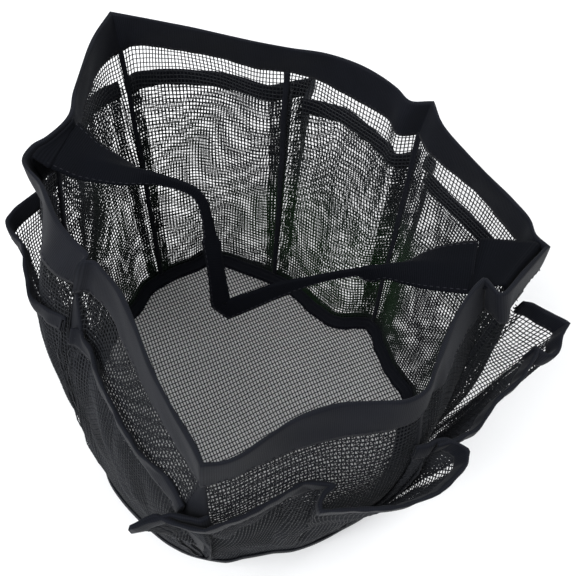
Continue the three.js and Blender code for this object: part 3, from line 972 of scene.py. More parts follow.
    def normal(self, index: int, along: Array, height: Array) -> Array:
        """The wall's direction outwards, as X and Y.

        Args:
            index: number of the panel.
            along: share of the way along the panel.
            height: height over the floor.

        Returns:
            Directions of length 1.
        """
        ahead = self.plain_wall(index, np.clip(along + 0.01, 0, 1), height)
        back = self.plain_wall(index, np.clip(along - 0.01, 0, 1), height)
        run = ahead - back
        out = np.stack([run[..., 1], -run[..., 0]], -1)
        return out / np.maximum(np.linalg.norm(out, axis=-1, keepdims=True), TINY)

    def wall(self, index: int, along: Array, height: Array, out: Array | float = 0.0) -> Array:
        """Places on the wall, as X, Y and Z, with ripples.

        Args:
            index: the panel.
            along: share of the way along it.
            height: height over the floor.
            out: distance out of the wall.

        Returns:
            The places, in millimetres.
        """
        along, height = np.broadcast_arrays(np.asarray(along, float), np.asarray(height, float))
        shift = (self.ripple(index, along, height) + self.belly(index, along, height) + out)[..., None]
        flat = self.plain_wall(index, along, height) + self.normal(index, along, height) * shift
        return np.concatenate([flat, height[..., None]], -1)

    def creased(self, places: Array, values: Array, at: Array) -> Array:
        """Values between folds, partly straight and partly curved, so that the folds stay crisp."""
        straight = np.interp(at, places, values)
        return straight + (monotone(places, values, at) - straight) * self.fold_softness

    def pocket(self, index: int, along: Array, height: Array) -> Array:
        """Places on a pocket's net, as X, Y and Z.

        Args:
            index: number of the panel.
            along: share of the way along the panel.
            height: height over the floor.

        Returns:
            The places, in millimetres.
        """
        along, height = np.broadcast_arrays(np.asarray(along, float), np.asarray(height, float))
        margin = self.pocket_inset / self.rim_lengths[index]
        panel = PANELS[index]
        folds = np.array([(margin, *panel.first), *panel.mouth, (1 - margin, *panel.last)])
        reach, shift = (self.creased(folds[:, 0], folds[:, part], along) * self.pocket_gape for part in (1, 2))
        forward = self.forward(index)
        outward = np.array([forward[1], -forward[0]])
        rise = np.clip((height - self.foot_top) / (self.mouth_height - self.foot_top), 0, 1.2)
        flare = rise**self.flare_power
        lift = np.clip(height / self.seat_height, 0, 1)
        seat = self.layer_pitch + (self.mouth_pitch - self.layer_pitch) * lift
        inner = np.clip(np.minimum(along - margin, 1 - margin - along) * 8, 0, 1)
        own = self.own_ripple * inner * np.clip(rise * (1.15 - rise) * 3, 0, 1) * (
            np.sin(13 * along + 6 * rise + index) + 0.5 * np.sin(29 * along - 9 * rise + 2 * index)
        )
        belly = self.belly(index, along, height)
        base = self.wall(index, along, height, seat - belly)
        least = belly * np.clip(1.6 - 2 * np.abs(shift) / self.pocket_gape, 0, 1)
        out = np.maximum(reach * flare, least) + np.abs(own)
        base[..., :2] += outward * out[..., None] + forward * (shift * flare)[..., None]
        return base

    def mouth_length(self, index: int) -> float:
        """Length of a pocket's mouth along its pleats.

        Args:
            index: number of the panel.

        Returns:
            The length, in millimetres.
        """
        margin = self.pocket_inset / self.rim_lengths[index]
        along = np.linspace(margin, 1 - margin, self.mouth_samples)
        return float(line_lengths(self.pocket(index, along, np.full_like(along, self.mouth_height)))[-1])

    def ring(self, step: float) -> list[tuple[int, float]]:
        """Panel and place of points all round, about step apart on the rim.

        Args:
            step: distance between points.

        Returns:
            The panel's number and the share along it, for each point.
        """
        found = []
        for index, length in enumerate(self.rim_lengths):
            count = max(int(round(length / step)), 2)
            found += [(index, place / count) for place in range(count)]
        return found

    def ring_line(self, stations: Sequence[tuple[int, float]], height: float) -> Array:
        """The closed line round the bag at a height, as X and Y."""
        return np.array([self.wall(index, along, height)[:2] for index, along in stations])


# Nets


@dataclass(frozen=True)
class Weave:
    """A square net: the gap between threads each way and the thread's size."""

    across: float = 1.95
    up: float = 2.6
    radius: float = 0.33
    lift: float = 0.1
    drift: float = 1.1


@dataclass
class Nets:
    """The net walls, the net pockets and the base net."""

    form: Form
    threads: Tree
    weave: Weave = field(default_factory=Weave)
    seam_half: float = 0.9
    tape_half: float = 1.7
    pleat_gap: float = 1.0
    lap: float = 4.0
    net_low: float = 2.6
    hem_low: float = 181.0
    calm_edge: float = 12.0
    stray_waves: tuple[float, float] = (61.0, 97.0)
    sag_waves: tuple[float, float] = (83.0, 71.0)
    pleat_back: float = 1.2
    pleat_turn: float = 5.0
    pleat_low: float = 25.0
    pleat_fade: float = 14.0
    below_mouth: float = 11.0
    side_step: float = 0.004
    samples_along: int = 481
    samples_up: int = 121
    edge_room: float = 0.35
    tape_thick: float = 0.5
    tape_swell: float = 0.35
    tape_out: float = -0.55
    tape_wobble: float = 0.2
    tape_tuck: float = 1.5
    tape_rows: int = 70
    floor_edge: float = 3.4
    floor_thread: float = 0.31
    floor_height: float = 1.9
    floor_step: float = 1.4
    floor_rise: float = 0.9

    # The base net's two rows of threads: direction in degrees, pitch and side of the net
    floor_rows: tuple[Triple, ...] = ((44.0, 2.8, 1.0), (-51.0, 1.95, -1.0))

    def panel_threads(
        self, surface: Surface, low: float, high: float, ends: tuple[float, float], phase: float,
    ) -> tuple[Array, Array]:
        """Threads of a panel cut on the grain, parallel to its middle and square to it.

        Args:
            surface: gives places from shares along and heights.
            low: height of the lowest row.
            high: height of the highest row.
            ends: shares along at the panel's two edges.
            phase: start of the waves in which the threads stray, in turns.

        Returns:
            Points in millimetres and the edges between them.
        """
        rows = self._row_heights(surface, low, high, ends)
        samples = np.linspace(ends[0], ends[1], self.samples_along)
        points, edges, total = [], [], 0
        spans, lines = [], []
        for number, height in enumerate(rows):
            dense = surface(samples, np.full_like(samples, height))
            length = line_lengths(dense)
            half = length[-1] / 2
            count = int((half - self.edge_room) // self.weave.across)
            steps = np.arange(-count, count + 1) * self.weave.across
            stray = np.sin(TURN * (steps / self.stray_waves[0] + height / self.stray_waves[1] + phase))
            stray *= np.clip((half - abs(steps)) / self.calm_edge, 0, 1)
            sag = np.sin(TURN * (steps / self.sag_waves[0] - height / self.sag_waves[1] + 2 * phase))
            sag *= float(np.clip(min(height - low, high - height) / self.calm_edge, 0, 1)) * self.weave.drift
            spans.append((count, np.interp(steps + half + stray * self.weave.drift, length, samples), height + sag))
            lines.append(dense)
        widest = max(count for count, *_ in spans)
        above: list[tuple[int, Array]] = []
        for number, (count, along, heights) in enumerate(spans):
            here = surface(along, heights)
            ahead = surface(np.clip(along + self.side_step, *ends), heights)
            back = surface(np.clip(along - self.side_step, *ends), heights)
            run = ahead - back
            out = np.stack([run[:, 1], -run[:, 0], np.zeros(len(run))], 1)
            out /= np.maximum(np.linalg.norm(out, axis=1, keepdims=True), TINY)
            sign = np.where((np.arange(-count, count + 1) + number) % 2 == 0, 1.0, -1.0)[:, None]
            level = here + out * sign * self.weave.lift
            dense = lines[number]
            level = np.concatenate([dense[:1], level, dense[-1:]])
            points.append(level)
            edges += [(total + i, total + i + 1) for i in range(len(level) - 1)]
            total += len(level)
            above.append((count, here - out * sign * self.weave.lift))
        for column in range(-widest, widest + 1):
            run_start = None
            for count, here in above:
                if abs(column) <= count:
                    points.append(here[column + count][None])
                    if run_start is not None:
                        edges.append((total - 1, total))
                    run_start = total
                    total += 1
                else:
                    run_start = None
        return np.concatenate(points), np.array(edges)

    def _row_heights(self, surface: Surface, low: float, high: float, ends: tuple[float, float]) -> Array:
        """Heights of rows that lie one thread pitch apart on the sloping net.

        Args:
            surface: gives places from shares along and heights.
            low: height of the lowest row.
            high: height of the highest row.
            ends: shares along at the panel's two edges.

        Returns:
            The height of each row at the panel's middle.
        """
        heights = np.linspace(low, high, self.samples_up)
        middle = surface(np.full_like(heights, sum(ends) / 2), heights)
        length = line_lengths(middle)
        count = int(length[-1] // self.weave.up)
        return np.interp(np.arange(count + 1) * self.weave.up, length, heights)

    def wall(self, index: int, material: bpy.types.Material) -> bpy.types.Object:
        """One wall's net.

        Args:
            index: number of the panel.
            material: material of the thread.

        Returns:
            The piece.
        """
        margin = self.seam_half / self.form.rim_lengths[index]
        points, edges = self.panel_threads(
            lambda along, height: self.form.wall(index, along, height),
            self.net_low, self.hem_low, (margin, 1 - margin), 0.13 * index,
        )
        return self._piece(f"wall_mesh_{PANELS[index].name}", points, edges, material, self._flat_axes(index))

    def gathered(self, index: int) -> tuple[Surface, float]:
        """A pocket's net, lapped to the wall at its seams, with a pleat laid in beside each.

        Args:
            index: the panel.

        Returns:
            Places from shares along the cut net and heights, and how much longer than the
            pocket the cut net is, as a share.
        """
        length, inset, pleat = self.form.rim_lengths[index], self.form.pocket_inset, PANELS[index].pleat
        first = inset + np.array([0.0, pleat, self.pleat_back])
        stops = np.concatenate([first, length - first[::-1]])
        cut = np.concatenate([[0.0], np.cumsum(abs(np.diff(stops)))])
        turn = pleat + self.pleat_turn
        places = [
            0, cut[1] - 1, cut[1] + 1, cut[2] - 1, cut[2] + 1, cut[2] + turn,
            cut[3] - turn, cut[3] - 1, cut[3] + 1, cut[4] - 1, cut[4] + 1, cut[5],
        ]
        layers = np.array([0, 0, 1, 1, 2, 0, 0, 2, 1, 1, 0, 0]) * self.pleat_gap
        band = self.form.mouth_height - self.below_mouth

        def surface(share: Array, height: Array) -> Array:
            """Places on the gathered net.

            Args:
                share: share of the way along the cut net.
                height: height over the floor.

            Returns:
                The places, in millimetres.
            """
            drawn = np.asarray(share, float) * (cut[5] + 2 * self.lap) - self.lap
            run = np.clip(drawn, 0, cut[5])
            along = np.interp(run, cut, stops) / length
            layer = np.interp(run, places, layers)
            layer = layer * np.clip((band - height) / self.pleat_fade, 0, 1) * np.clip(height / self.pleat_low, 0, 1)
            found = self.form.pocket(index, along, height)
            found[..., :2] += self.form.normal(index, along, height) * np.asarray(layer)[..., None]
            past = np.clip(np.maximum(-drawn, drawn - cut[5]) / self.lap, 0, 1)
            seam = self.form.wall(index, along, height, self.form.layer_pitch)
            return found + (seam - found) * past[..., None]

        return surface, float((cut[5] + 2 * self.lap) / (length - 2 * inset))

    def pocket(self, index: int, material: bpy.types.Material) -> bpy.types.Object:
        """One pocket's net.

        Args:
            index: number of the panel.
            material: material of the thread.

        Returns:
            The piece.
        """
        surface, _ = self.gathered(index)
        points, edges = self.panel_threads(
            surface, self.net_low, self.form.mouth_height - 3.0, (0.0, 1.0), 0.41 + 0.29 * index,
        )
        return self._piece(f"pocket_mesh_{PANELS[index].name}", points, edges, material, self._flat_axes(index))

    def floor_line(self) -> Array:
        """The base net's edge, as X and Y."""
        line = self.form.ring_line(self.form.ring(step=4.0), self.floor_height)
        return mitred(line, -self.floor_edge, True)

    def base(self, material: bpy.types.Material) -> bpy.types.Object:
        """The base's net, laid aslant and cut to the base's edge.

        Args:
            material: material of the thread.

        Returns:
            The piece.
        """
        edge = self.floor_line()
        turned = np.degrees(np.arctan2(edge[:, 1], edge[:, 0])) % 360
        order = np.argsort(turned)
        reach = np.hypot(*edge.T)[order]
        turned = turned[order]
        widest = float(reach.max())
        points, edges, total = [], [], 0
        for turn, pitch, side in self.floor_rows:
            forward = np.array([math.cos(math.radians(turn)), math.sin(math.radians(turn))])
            across = np.array([-forward[1], forward[0]])
            count = int(widest // pitch)
            for line in range(-count, count + 1):
                steps = np.arange(-widest, widest, self.floor_step)
                flat = forward * steps[:, None] + across * (line * pitch)
                drift = 1.5 * np.sin(flat[:, ::-1] / 27.0 + turn) + 0.5 * np.sin(flat[:, ::-1] / 11.0 + 2 * turn)
                size = np.hypot(*flat.T)
                azimuth = np.degrees(np.arctan2(flat[:, 1], flat[:, 0])) % 360
                limit = np.interp(azimuth, turned, reach, period=360)
                slack = np.clip(1 - (size / limit) ** 6, 0, 1)
                flat = flat + drift * across * slack[:, None]
                inside = np.hypot(*flat.T) < limit
                level = self.floor_height + side * self.weave.lift + self.floor_rise * slack * (
                    1 + np.sin(flat[:, 0] / 17.0) * np.sin(flat[:, 1] / 21.0 + 1.0)
                )
                spots = np.concatenate([flat, level[:, None]], 1)[inside]
                joined = np.flatnonzero(np.diff(np.flatnonzero(inside)) == 1)
                points.append(spots)
                edges += [(total + i, total + i + 1) for i in joined.tolist()]
                total += len(spots)
        axes = np.eye(3)[:2]
        return self._piece("base_mesh", np.concatenate(points), np.array(edges), material, axes, self.floor_thread)

    def _flat_axes(self, index: int) -> Array:
        """A panel's directions along and up, for its bake map."""
        return np.array([(*self.form.forward(index), 0.0), (0.0, 0.0, 1.0)])

    def tape(self, index: int) -> bpy.types.Object:
        """The tape on the seam before a panel.

        Args:
            index: number of the panel.

        Returns:
            The piece.
        """
        before = (index - 1) % len(PANELS)
        heights = np.linspace(self.form.foot_top - self.tape_tuck, self.hem_low - 2.0, self.tape_rows)
        ends = self.tape_half / self.form.rim_lengths[before], self.tape_half / self.form.rim_lengths[index]
        outer = [(share, 1) for share in (-1, -0.5, 0, 0.5, 1)]
        outline = outer + [(share, -1) for share, _ in reversed(outer)]
        sections = []
        for height in heights:
            seam = self.form.wall(index, 0.0, height)[:2]
            left = self.form.wall(before, 1 - ends[0], height)[:2]
            right = self.form.wall(index, ends[1], height)[:2]
            wobble = self.tape_wobble * math.sin(height * 0.11 + 2 * index)
            out = self.form.normal(index, np.array(0.0), np.array(height))
            run = right - left
            run /= np.linalg.norm(run)
            corners = []
            for share, side in outline:
                base = seam + ((left if share < 0 else right) - seam) * abs(share)
                depth = self.tape_thick + (self.tape_swell if abs(share) < 1 else 0.0)
                flat = base + run * wobble + out * (self.tape_out + side * depth)
                corners.append((*flat, height))
            sections.append(corners)
        return Sweep(f"seam_band_{PANELS[index].name}", self.form.place(np.array(sections)), False).build()

    def _piece(
        self, name: str, points: Array, edges: Array, material: bpy.types.Material, axes: Array,
        radius: float | None = None,
    ) -> bpy.types.Object:
        """A net piece from its threads' lines, with a bake map that is flat on two axes.

        Each side of a square thread has its own quarter of the map.

        Args:
            name: name of the piece.
            points: places on the threads, in millimetres.
            edges: pairs of points that a thread joins.
            material: material of the thread.
            axes: the map's two directions.
            radius: the thread's radius, where it is not the weave's.

        Returns:
            The piece.
        """
        places = self.form.place(points)
        wires = mesh_object(name, places, [], [tuple(e) for e in edges.tolist()])
        piece = self.threads.apply(wires, material, Thread_radius=(radius or self.weave.radius) * MM)
        mesh = piece.data
        corners = np.zeros(len(mesh.vertices) * 3)
        mesh.vertices.foreach_get("co", corners)
        flat = corners.reshape(-1, 3) @ axes.T
        flat = (flat - flat.min(0)) / (flat.max(0) - flat.min(0))
        loops = np.zeros(len(mesh.loops), dtype=np.int32)
        mesh.loops.foreach_get("vertex_index", loops)
        side = (np.arange(len(loops)) // 4) % 4
        corner = np.stack([side % 2, side // 2], 1) * 0.5
        spots = corner + MAP_EDGE / 2 + flat[loops] * (0.5 - MAP_EDGE)
        mesh.uv_layers.new(name=BAKE_MAP).data.foreach_set("uv", spots.ravel())
        return piece


# Cloth bands


def wire_rows(name: str, form: Form, lines: Sequence[Array], closed: bool) -> bpy.types.Object:
    """Rows of edges for a tree to run along.

    Args:
        name: the piece's name.
        form: the bag's form.
        lines: the points of each row, in millimetres.
        closed: whether each row comes back to its start.

    Returns:
        The piece.
    """
    edges, total = [], 0
    for line in lines:
        count = len(line)
        edges += [(total + i, total + (i + 1) % count) for i in range(count if closed else count - 1)]
        total += count
    return mesh_object(name, form.place(np.concatenate(lines)), [], edges)


@dataclass
class Bands:
    """The hem, the pockets' bindings and the binding round the base, with their stitches."""

    form: Form
    stitches: Tree
    hem_bottom: float = 178.0
    binding_height: float = 10.0
    seam_in: float = 1.8
    skin: float = 0.9
    half_thick: float = 0.95
    half_hollow: float = 0.45
    fold_round: float = 1.3
    pucker_height: float = 9.0
    hem_puckers: tuple[float, float] = (0.14, 0.22)
    binding_puckers: tuple[float, float] = (0.13, 0.15)

    def fold_profile(self, bottom: float, top: float, steps: int, puff: float) -> Array:
        """Outline of a folded band: outer side over the top to the inner side, and back inside.

        Args:
            bottom: height of both lower edges.
            top: height of the fold.
            steps: stretches on each leg.
            puff: how far the legs bulge between edge and fold.

        Returns:
            Distance out of the middle surface and height for each corner.
        """
        share = np.linspace(0, 1, steps + 1)
        leg = self.half_thick + 0.3 * np.sin(np.pi * share) * puff + 0.15 * np.minimum(share * 4, 1)
        crown = top - self.fold_round
        heights = bottom + (crown - bottom) * share
        turn = np.linspace(0, np.pi, 7)[1:-1]
        outer = list(zip(leg, heights, strict=True))
        over = [(leg[-1] * math.cos(a), crown + self.fold_round * math.sin(a)) for a in turn]
        inner = [(-x, z) for x, z in reversed(outer)]
        skin = outer + over + inner
        hollow = self.half_hollow
        lining = [(x * hollow if abs(x) > 0.3 else x, min(z, top - 0.9)) for x, z in skin]
        lining = [(math.copysign(max(abs(x), hollow), x) if abs(x) > 0.2 else x, z) for x, z in lining]
        return np.array(skin + lining[::-1])

    def _ring_lines(self, step: float) -> Callable[[float], Array]:
        """The ring round the bag as a function of the height, with points about step apart.

        Args:
            step: distance between points.

        Returns:
            The function, which keeps each line that it has made.
        """
        stations = self.form.ring(step)
        cache: dict[float, Array] = {}

        def line_at(height: float) -> Array:
            """The ring at a height.

            Args:
                height: height over the floor.

            Returns:
                The points, in millimetres.
            """
            if height not in cache:
                cache[height] = self.form.ring_line(stations, height)
            return cache[height]

        return line_at

    def _sweep(
        self, name: str, line_at: Callable[[float], Array], profile: Array, closed: bool,
        wrinkle: Surface | None = None, rows: int = 1,
    ) -> bpy.types.Object:
        """Sweeps an outline along lines that differ with the height.

        Args:
            name: name of the piece.
            line_at: gives the line at a height.
            profile: distance out of the line and height for each corner of the outline.
            closed: whether the lines come back to their start.
            wrinkle: gives how far the skin stands out, from point number and height.
            rows: rows of the bake map.

        Returns:
            The piece.
        """
        sides = []
        for out, height in profile:
            line = line_at(height)
            reach = np.full(len(line), out)
            if wrinkle is not None:
                puckers = wrinkle(np.arange(len(line)), np.full(len(line), height))
                reach = reach + puckers * np.sign(out) * (abs(out) > self.skin)
            moved = mitred(line[:, :2], reach, closed)
            sides.append(at_height(moved, height))
        sections = np.stack(sides, 1)
        return Sweep(name, self.form.place(sections), closed, rows).build()

    def hem(self) -> bpy.types.Object:
        """The folded band round the rim.

        Returns:
            The piece.
        """
        def wrinkle(place: Array, height: Array) -> Array:
            """Shallow puckers that grow towards the stitched edge.

            Args:
                place: number of the point along the band.
                height: height over the floor.

            Returns:
                How far the skin stands out.
            """
            low = np.clip((self.hem_bottom + self.pucker_height - height) / self.pucker_height, 0, 1)
            wide = np.sin(place * 0.23 + height * 0.3) * np.sin(place * 0.071)
            return self.hem_puckers[0] * np.sin(place * 0.9) * low + self.hem_puckers[1] * wide

        profile = self.fold_profile(self.hem_bottom, self.form.height, steps=9, puff=0.6)
        return self._sweep("hem_band", self._ring_lines(step=1.7), profile, True, wrinkle, rows=8)

    def hem_stitches(self, material: bpy.types.Material) -> bpy.types.Object:
        """Two rows of stitches, one on each side of the hem.

        Args:
            material: material of the stitches.

        Returns:
            The piece.
        """
        height = self.hem_bottom + self.seam_in
        line = self._ring_lines(step=3.0)(height)
        lines = [at_height(mitred(line, side, True), height) for side in (1.0, -1.0)]
        return self.stitches.apply(wire_rows("hem_stitches", self.form, lines, True), material)

    def _pocket_line(self, index: int, step: float) -> Callable[[float], Array]:
        """A pocket's line as a function of the height, with points about step apart at the mouth.

        Args:
            index: number of the panel.
            step: distance between points.

        Returns:
            The function.
        """
        margin = self.form.pocket_inset / self.form.rim_lengths[index]
        dense = np.linspace(margin, 1 - margin, self.form.mouth_samples)
        length = line_lengths(self.form.pocket(index, dense, np.full_like(dense, self.form.mouth_height)))
        count = max(int(length[-1] / step), 8)
        shares = np.interp(np.linspace(0, length[-1], count + 1), length, dense)

        def line_at(height: float) -> Array:
            """The pocket's line at a height."""
            return self.form.pocket(index, shares, np.full_like(shares, height))

        return line_at

    def binding(self, index: int) -> bpy.types.Object:
        """The binding on a pocket's mouth.

        Args:
            index: number of the panel.

        Returns:
            The piece.
        """
        line_at = self._pocket_line(index, step=1.3)
        top = self.form.mouth_height
        profile = self.fold_profile(top - self.binding_height, top, steps=6, puff=0.7)

        def wrinkle(place: Array, height: Array) -> Array:
            """Shallow puckers.

            Args:
                place: number of the point along the band.
                height: height over the floor.

            Returns:
                How far the skin stands out.
            """
            short, wide = np.sin(place * 0.8 + index), np.sin(place * 0.21 + height * 0.4 + index)
            return self.binding_puckers[0] * short + self.binding_puckers[1] * wide

        return self._sweep(f"pocket_band_{PANELS[index].name}", line_at, profile, False, wrinkle, rows=2)

    def binding_stitches(self, index: int, material: bpy.types.Material) -> bpy.types.Object:
        """Two rows of stitches on a pocket's binding.

        Args:
            index: number of the panel.
            material: material of the stitches.

        Returns:
            The piece.
        """
        height = self.form.mouth_height - self.binding_height + self.seam_in
        line = self._pocket_line(index, step=2.4)(height)
        lines = [at_height(mitred(line[:, :2], side, False), line[:, 2:]) for side in (1.05, -1.05)]
        wires = wire_rows(f"pocket_stitches_{PANELS[index].name}", self.form, lines, False)
        return self.stitches.apply(wires, material)

    def foot(self) -> bpy.types.Object:
        """The binding round the base: a strip below and a strip inside, both up the wall.

        Returns:
            The piece.
        """
        line_at = self._ring_lines(step=2.2)
        below = np.array([
            (2.4, 0.25), (2.65, 0.9), (2.6, 3.0), (2.5, 5.4), (2.2, 6.3),
            (1.8, 6.1), (1.7, 3.0), (1.6, 1.3), (0.9, 0.85), (-3.0, 0.85), (-6.4, 0.85),
            (-6.6, 0.4), (-6.3, 0.02), (-3.0, 0.02), (1.8, 0.02),
        ])
        inside = np.array([
            (-0.6, 6.0), (-0.6, 4.0), (-0.7, 2.9), (-3.0, 2.7), (-6.2, 2.6),
            (-6.6, 3.0), (-6.2, 3.5), (-4.6, 3.75), (-2.6, 3.8), (-1.75, 4.3), (-1.5, 5.4), (-1.1, 6.35),
        ])
        outer = self._sweep("base_band", line_at, below[::-1], True, rows=8)
        inner = self._sweep("base_band_inside", line_at, inside[::-1], True, rows=8)
        return self._joined(outer, inner)

    @staticmethod
    def _joined(first: bpy.types.Object, second: bpy.types.Object) -> bpy.types.Object:
        """Two pieces as one mesh under the first one's name.

        Args:
            first: the piece that stays.
            second: the piece that is taken into it.

        Returns:
            The first piece.
        """
        bpy.ops.object.select_all(action="DESELECT")
        for piece in (first, second):
            piece.select_set(True)
        bpy.context.view_layer.objects.active = first
        bpy.ops.object.join()
        return first


# Strap


@dataclass
class Strap:
    """The carrying strap, a webbing that folds double along its middle, and its two sewn tabs."""

    form: Form
    stitches: Tree
    side: float = 7.75
    axis_height: float = 197.0
    lean: float = 14.0
    fold_left: float = -103.0
    fold_right: float = 104.4
    drop: float = 79.0
    tab_overlap: float = 0.9
    thick: float = 1.0
    bend: float = 0.95
    fold_angle: float = 87.0
    tab_gap: float = 0.4
    tab_half: float = 15.5
    tab_low: float = 183.0
    tab_top: float = 199.6
    tab_in: float = 2.6
    tab_shoulder: float = 0.12
    tab_rise: float = 0.6

    # Share of the span, share of the drop, share of the turn on edge, open width, share of the fold
    rows: tuple[tuple[float, float, float, float, float], ...] = (
        (0.0, 0.0, 0.0, 32.0, 0.0),
        (0.03, 0.03, 0.0, 29.0, 0.03),
        (0.06, 0.06, 0.03, 26.0, 0.08),
        (0.11, 0.07, 0.12, 22.0, 0.2),
        (0.17, 0.07, 0.4, 17.5, 0.45),
        (0.22, 0.06, 0.75, 13.5, 0.8),
        (0.255, 0.06, 1.0, 11.5, 0.95),
        (0.3, 0.065, 1.0, 11.0, 1.0),
        (0.33, 0.085, 1.0, 11.0, 1.0),
        (0.35, 0.14, 1.0, 11.0, 1.0),
        (0.364, 0.24, 1.0, 11.0, 1.0),
        (0.378, 0.38, 1.0, 13.0, 1.0),
        (0.384, 0.45, 1.0, 20.0, 1.0),
        (0.39, 0.52, 1.0, 18.5, 1.0),
        (0.408, 0.72, 1.0, 19.0, 1.0),
        (0.427, 0.955, 1.0, 22.0, 1.0),
        (0.449, 0.985, 1.0, 22.0, 1.0),
        (0.51, 0.83, 1.0, 20.0, 1.0),
        (0.556, 0.71, 1.0, 18.0, 1.0),
        (0.605, 0.6, 1.0, 14.0, 1.0),
        (0.65, 0.51, 1.0, 9.0, 1.0),
        (0.7, 0.42, 1.0, 8.0, 1.0),
        (0.745, 0.35, 1.0, 8.5, 1.0),
        (0.765, 0.335, 0.95, 17.0, 0.95),
        (0.78, 0.315, 0.9, 18.0, 0.85),
        (0.8, 0.28, 0.85, 14.0, 0.75),
        (0.845, 0.22, 0.6, 20.0, 0.5),
        (0.888, 0.16, 0.35, 26.0, 0.25),
        (0.945, 0.1, 0.1, 30.0, 0.1),
        (1.0, 0.05, 0.0, 32.0, 0.05),
    )
    corners: tuple[int, int] = (15, 16)
    sewn_corners: tuple[int, int, int, int] = (1, 15, 18, 32)
    across_count: int = 17
    fine_count: int = 241

    def _section(self, width: float, fold: float) -> Array:
        """Outline of the webbing across its run, folded by a share.

        Args:
            width: open width.
            fold: 0 where it is flat, 1 where its halves meet.

        Returns:
            Side and height of each corner, outer skin first, then the inner one back.
        """
        steps = np.linspace(-width / 2, width / 2, self.across_count)
        angle = fold * math.radians(self.fold_angle)
        heading = -np.clip(steps / self.bend, -1, 1) * angle
        fine = np.linspace(-width / 2, width / 2, self.fine_count)
        fine_heading = -np.clip(fine / self.bend, -1, 1) * angle
        run = np.stack([np.cos(fine_heading), np.sin(fine_heading)], 1) * (fine[1] - fine[0])
        path = np.concatenate([[[0, 0]], np.cumsum((run[1:] + run[:-1]) / 2, axis=0)])
        path -= path[self.fine_count // 2]
        mids = np.stack([np.interp(steps, fine, path[:, axis]) for axis in range(2)], 1)
        mids[:, 1] -= mids[:, 1].min() / 2
        out = np.stack([-np.sin(heading), np.cos(heading)], 1) * self.thick / 2
        edge = np.minimum(1.0, np.minimum(steps + width / 2, width / 2 - steps) / 0.8 + 0.45)[:, None]
        return np.concatenate([mids + out * edge, (mids - out * edge)[::-1]])

    def _turned(self, points: Array) -> Array:
        """From the strap's own plane to the bag's frame.

        Args:
            points: places in the strap's plane.

        Returns:
            The places, in millimetres.
        """
        angle = -math.radians(self.lean)
        cos, sin = math.cos(angle), math.sin(angle)
        turn = np.array([[1, 0, 0], [0, cos, -sin], [0, sin, cos]])
        return points @ turn.T + np.array([0, self.side, self.axis_height])

    def frames(self) -> tuple[Array, Array, Array, Array, Array]:
        """Places, side and up directions, open width and fold of the strap's sections.

        Returns:
            One row for each section in each of the five.
        """
        rows = np.array(self.rows)
        spine = np.stack([
            self.fold_left + (self.fold_right - self.fold_left) * rows[:, 0],
            np.zeros(len(rows)),
            -rows[:, 1] * self.drop,
        ], 1)
        at_parts, parts = [], []
        for start, stop in zip((0, *self.corners), (*self.corners, len(rows) - 1), strict=True):
            part = spine[start:stop + 1]
            ends = np.concatenate([[2 * part[0] - part[1]], part, [2 * part[-1] - part[-2]]])
            at, line = rounded_line(ends, count=8)
            at_parts.append(start + at[:-1])
            parts.append(line[:-1])
        at = np.concatenate([*at_parts, [len(rows) - 1]])
        line = np.concatenate([*parts, spine[-1:]])
        numbers = np.arange(len(rows))
        turn = monotone(numbers, rows[:, 2], at)
        width = monotone(numbers, rows[:, 3], at)
        fold = monotone(numbers, rows[:, 4], at)
        steps = np.diff(line, axis=0)
        steps /= np.linalg.norm(steps, axis=1, keepdims=True)
        after, before = np.concatenate([steps, steps[-1:]]), np.concatenate([steps[:1], steps])
        forward = before + after
        forward /= np.linalg.norm(forward, axis=1, keepdims=True)
        mitre = 1 / np.maximum((forward * after).sum(1, keepdims=True), 0.6)
        across = np.tile([0.0, 1.0, 0.0], (len(line), 1))
        upright = np.cross(forward, across)
        angle = np.radians(self.lean * (1 - turn))
        # An open end lies level: its side leans back by as much as the strap's plane leans forward
        side = across * np.cos(angle)[:, None] + upright * np.sin(angle)[:, None]
        up = np.cross(forward, side) * -1.0
        up = np.where((up * upright).sum(1, keepdims=True) < 0, -up, up) * mitre
        return line, side, up, width, fold

    def _sections(self) -> Array:
        """The strap's outlines along its run, in the bag's frame.

        Returns:
            The places of each section's corners, in millimetres.
        """
        sections = []
        for place, across, rise, wide, share in zip(*self.frames(), strict=True):
            outline = self._section(float(wide), float(share))
            sections.append(place + across * outline[:, :1] + rise * outline[:, 1:])
        return self._turned(np.array(sections).reshape(-1, 3)).reshape(len(sections), -1, 3)

    def strap(self) -> bpy.types.Object:
        """The swinging strap."""
        return Sweep("carrying_strap", self.form.place(self._sections()), False, bake_rows=2).build()

    def strap_stitches(self, material: bpy.types.Material) -> bpy.types.Object:
        """Stitches along the strap's edges.

        Args:
            material: material of the stitches.

        Returns:
            The piece.
        """
        sections = self._sections()
        wires = wire_rows("strap_stitches", self.form, [sections[:, corner] for corner in self.sewn_corners], False)
        return self.stitches.apply(wires, material, Stitch_width=0.00045)

    def _rim_place(self, seam: int, distance: float, height: float, out: float) -> Array:
        """A place on the hem at a distance along the rim from a seam.

        Args:
            seam: number of the panel after the seam.
            distance: how far along the rim, less than 0 before the seam.
            height: height over the floor.
            out: distance out of the wall.

        Returns:
            The place, in millimetres.
        """
        index = (seam - 1) % len(PANELS) if distance < 0 else seam
        along = distance / self.form.rim_lengths[index]
        return self.form.wall(index, 1 + along if distance < 0 else along, height, out)

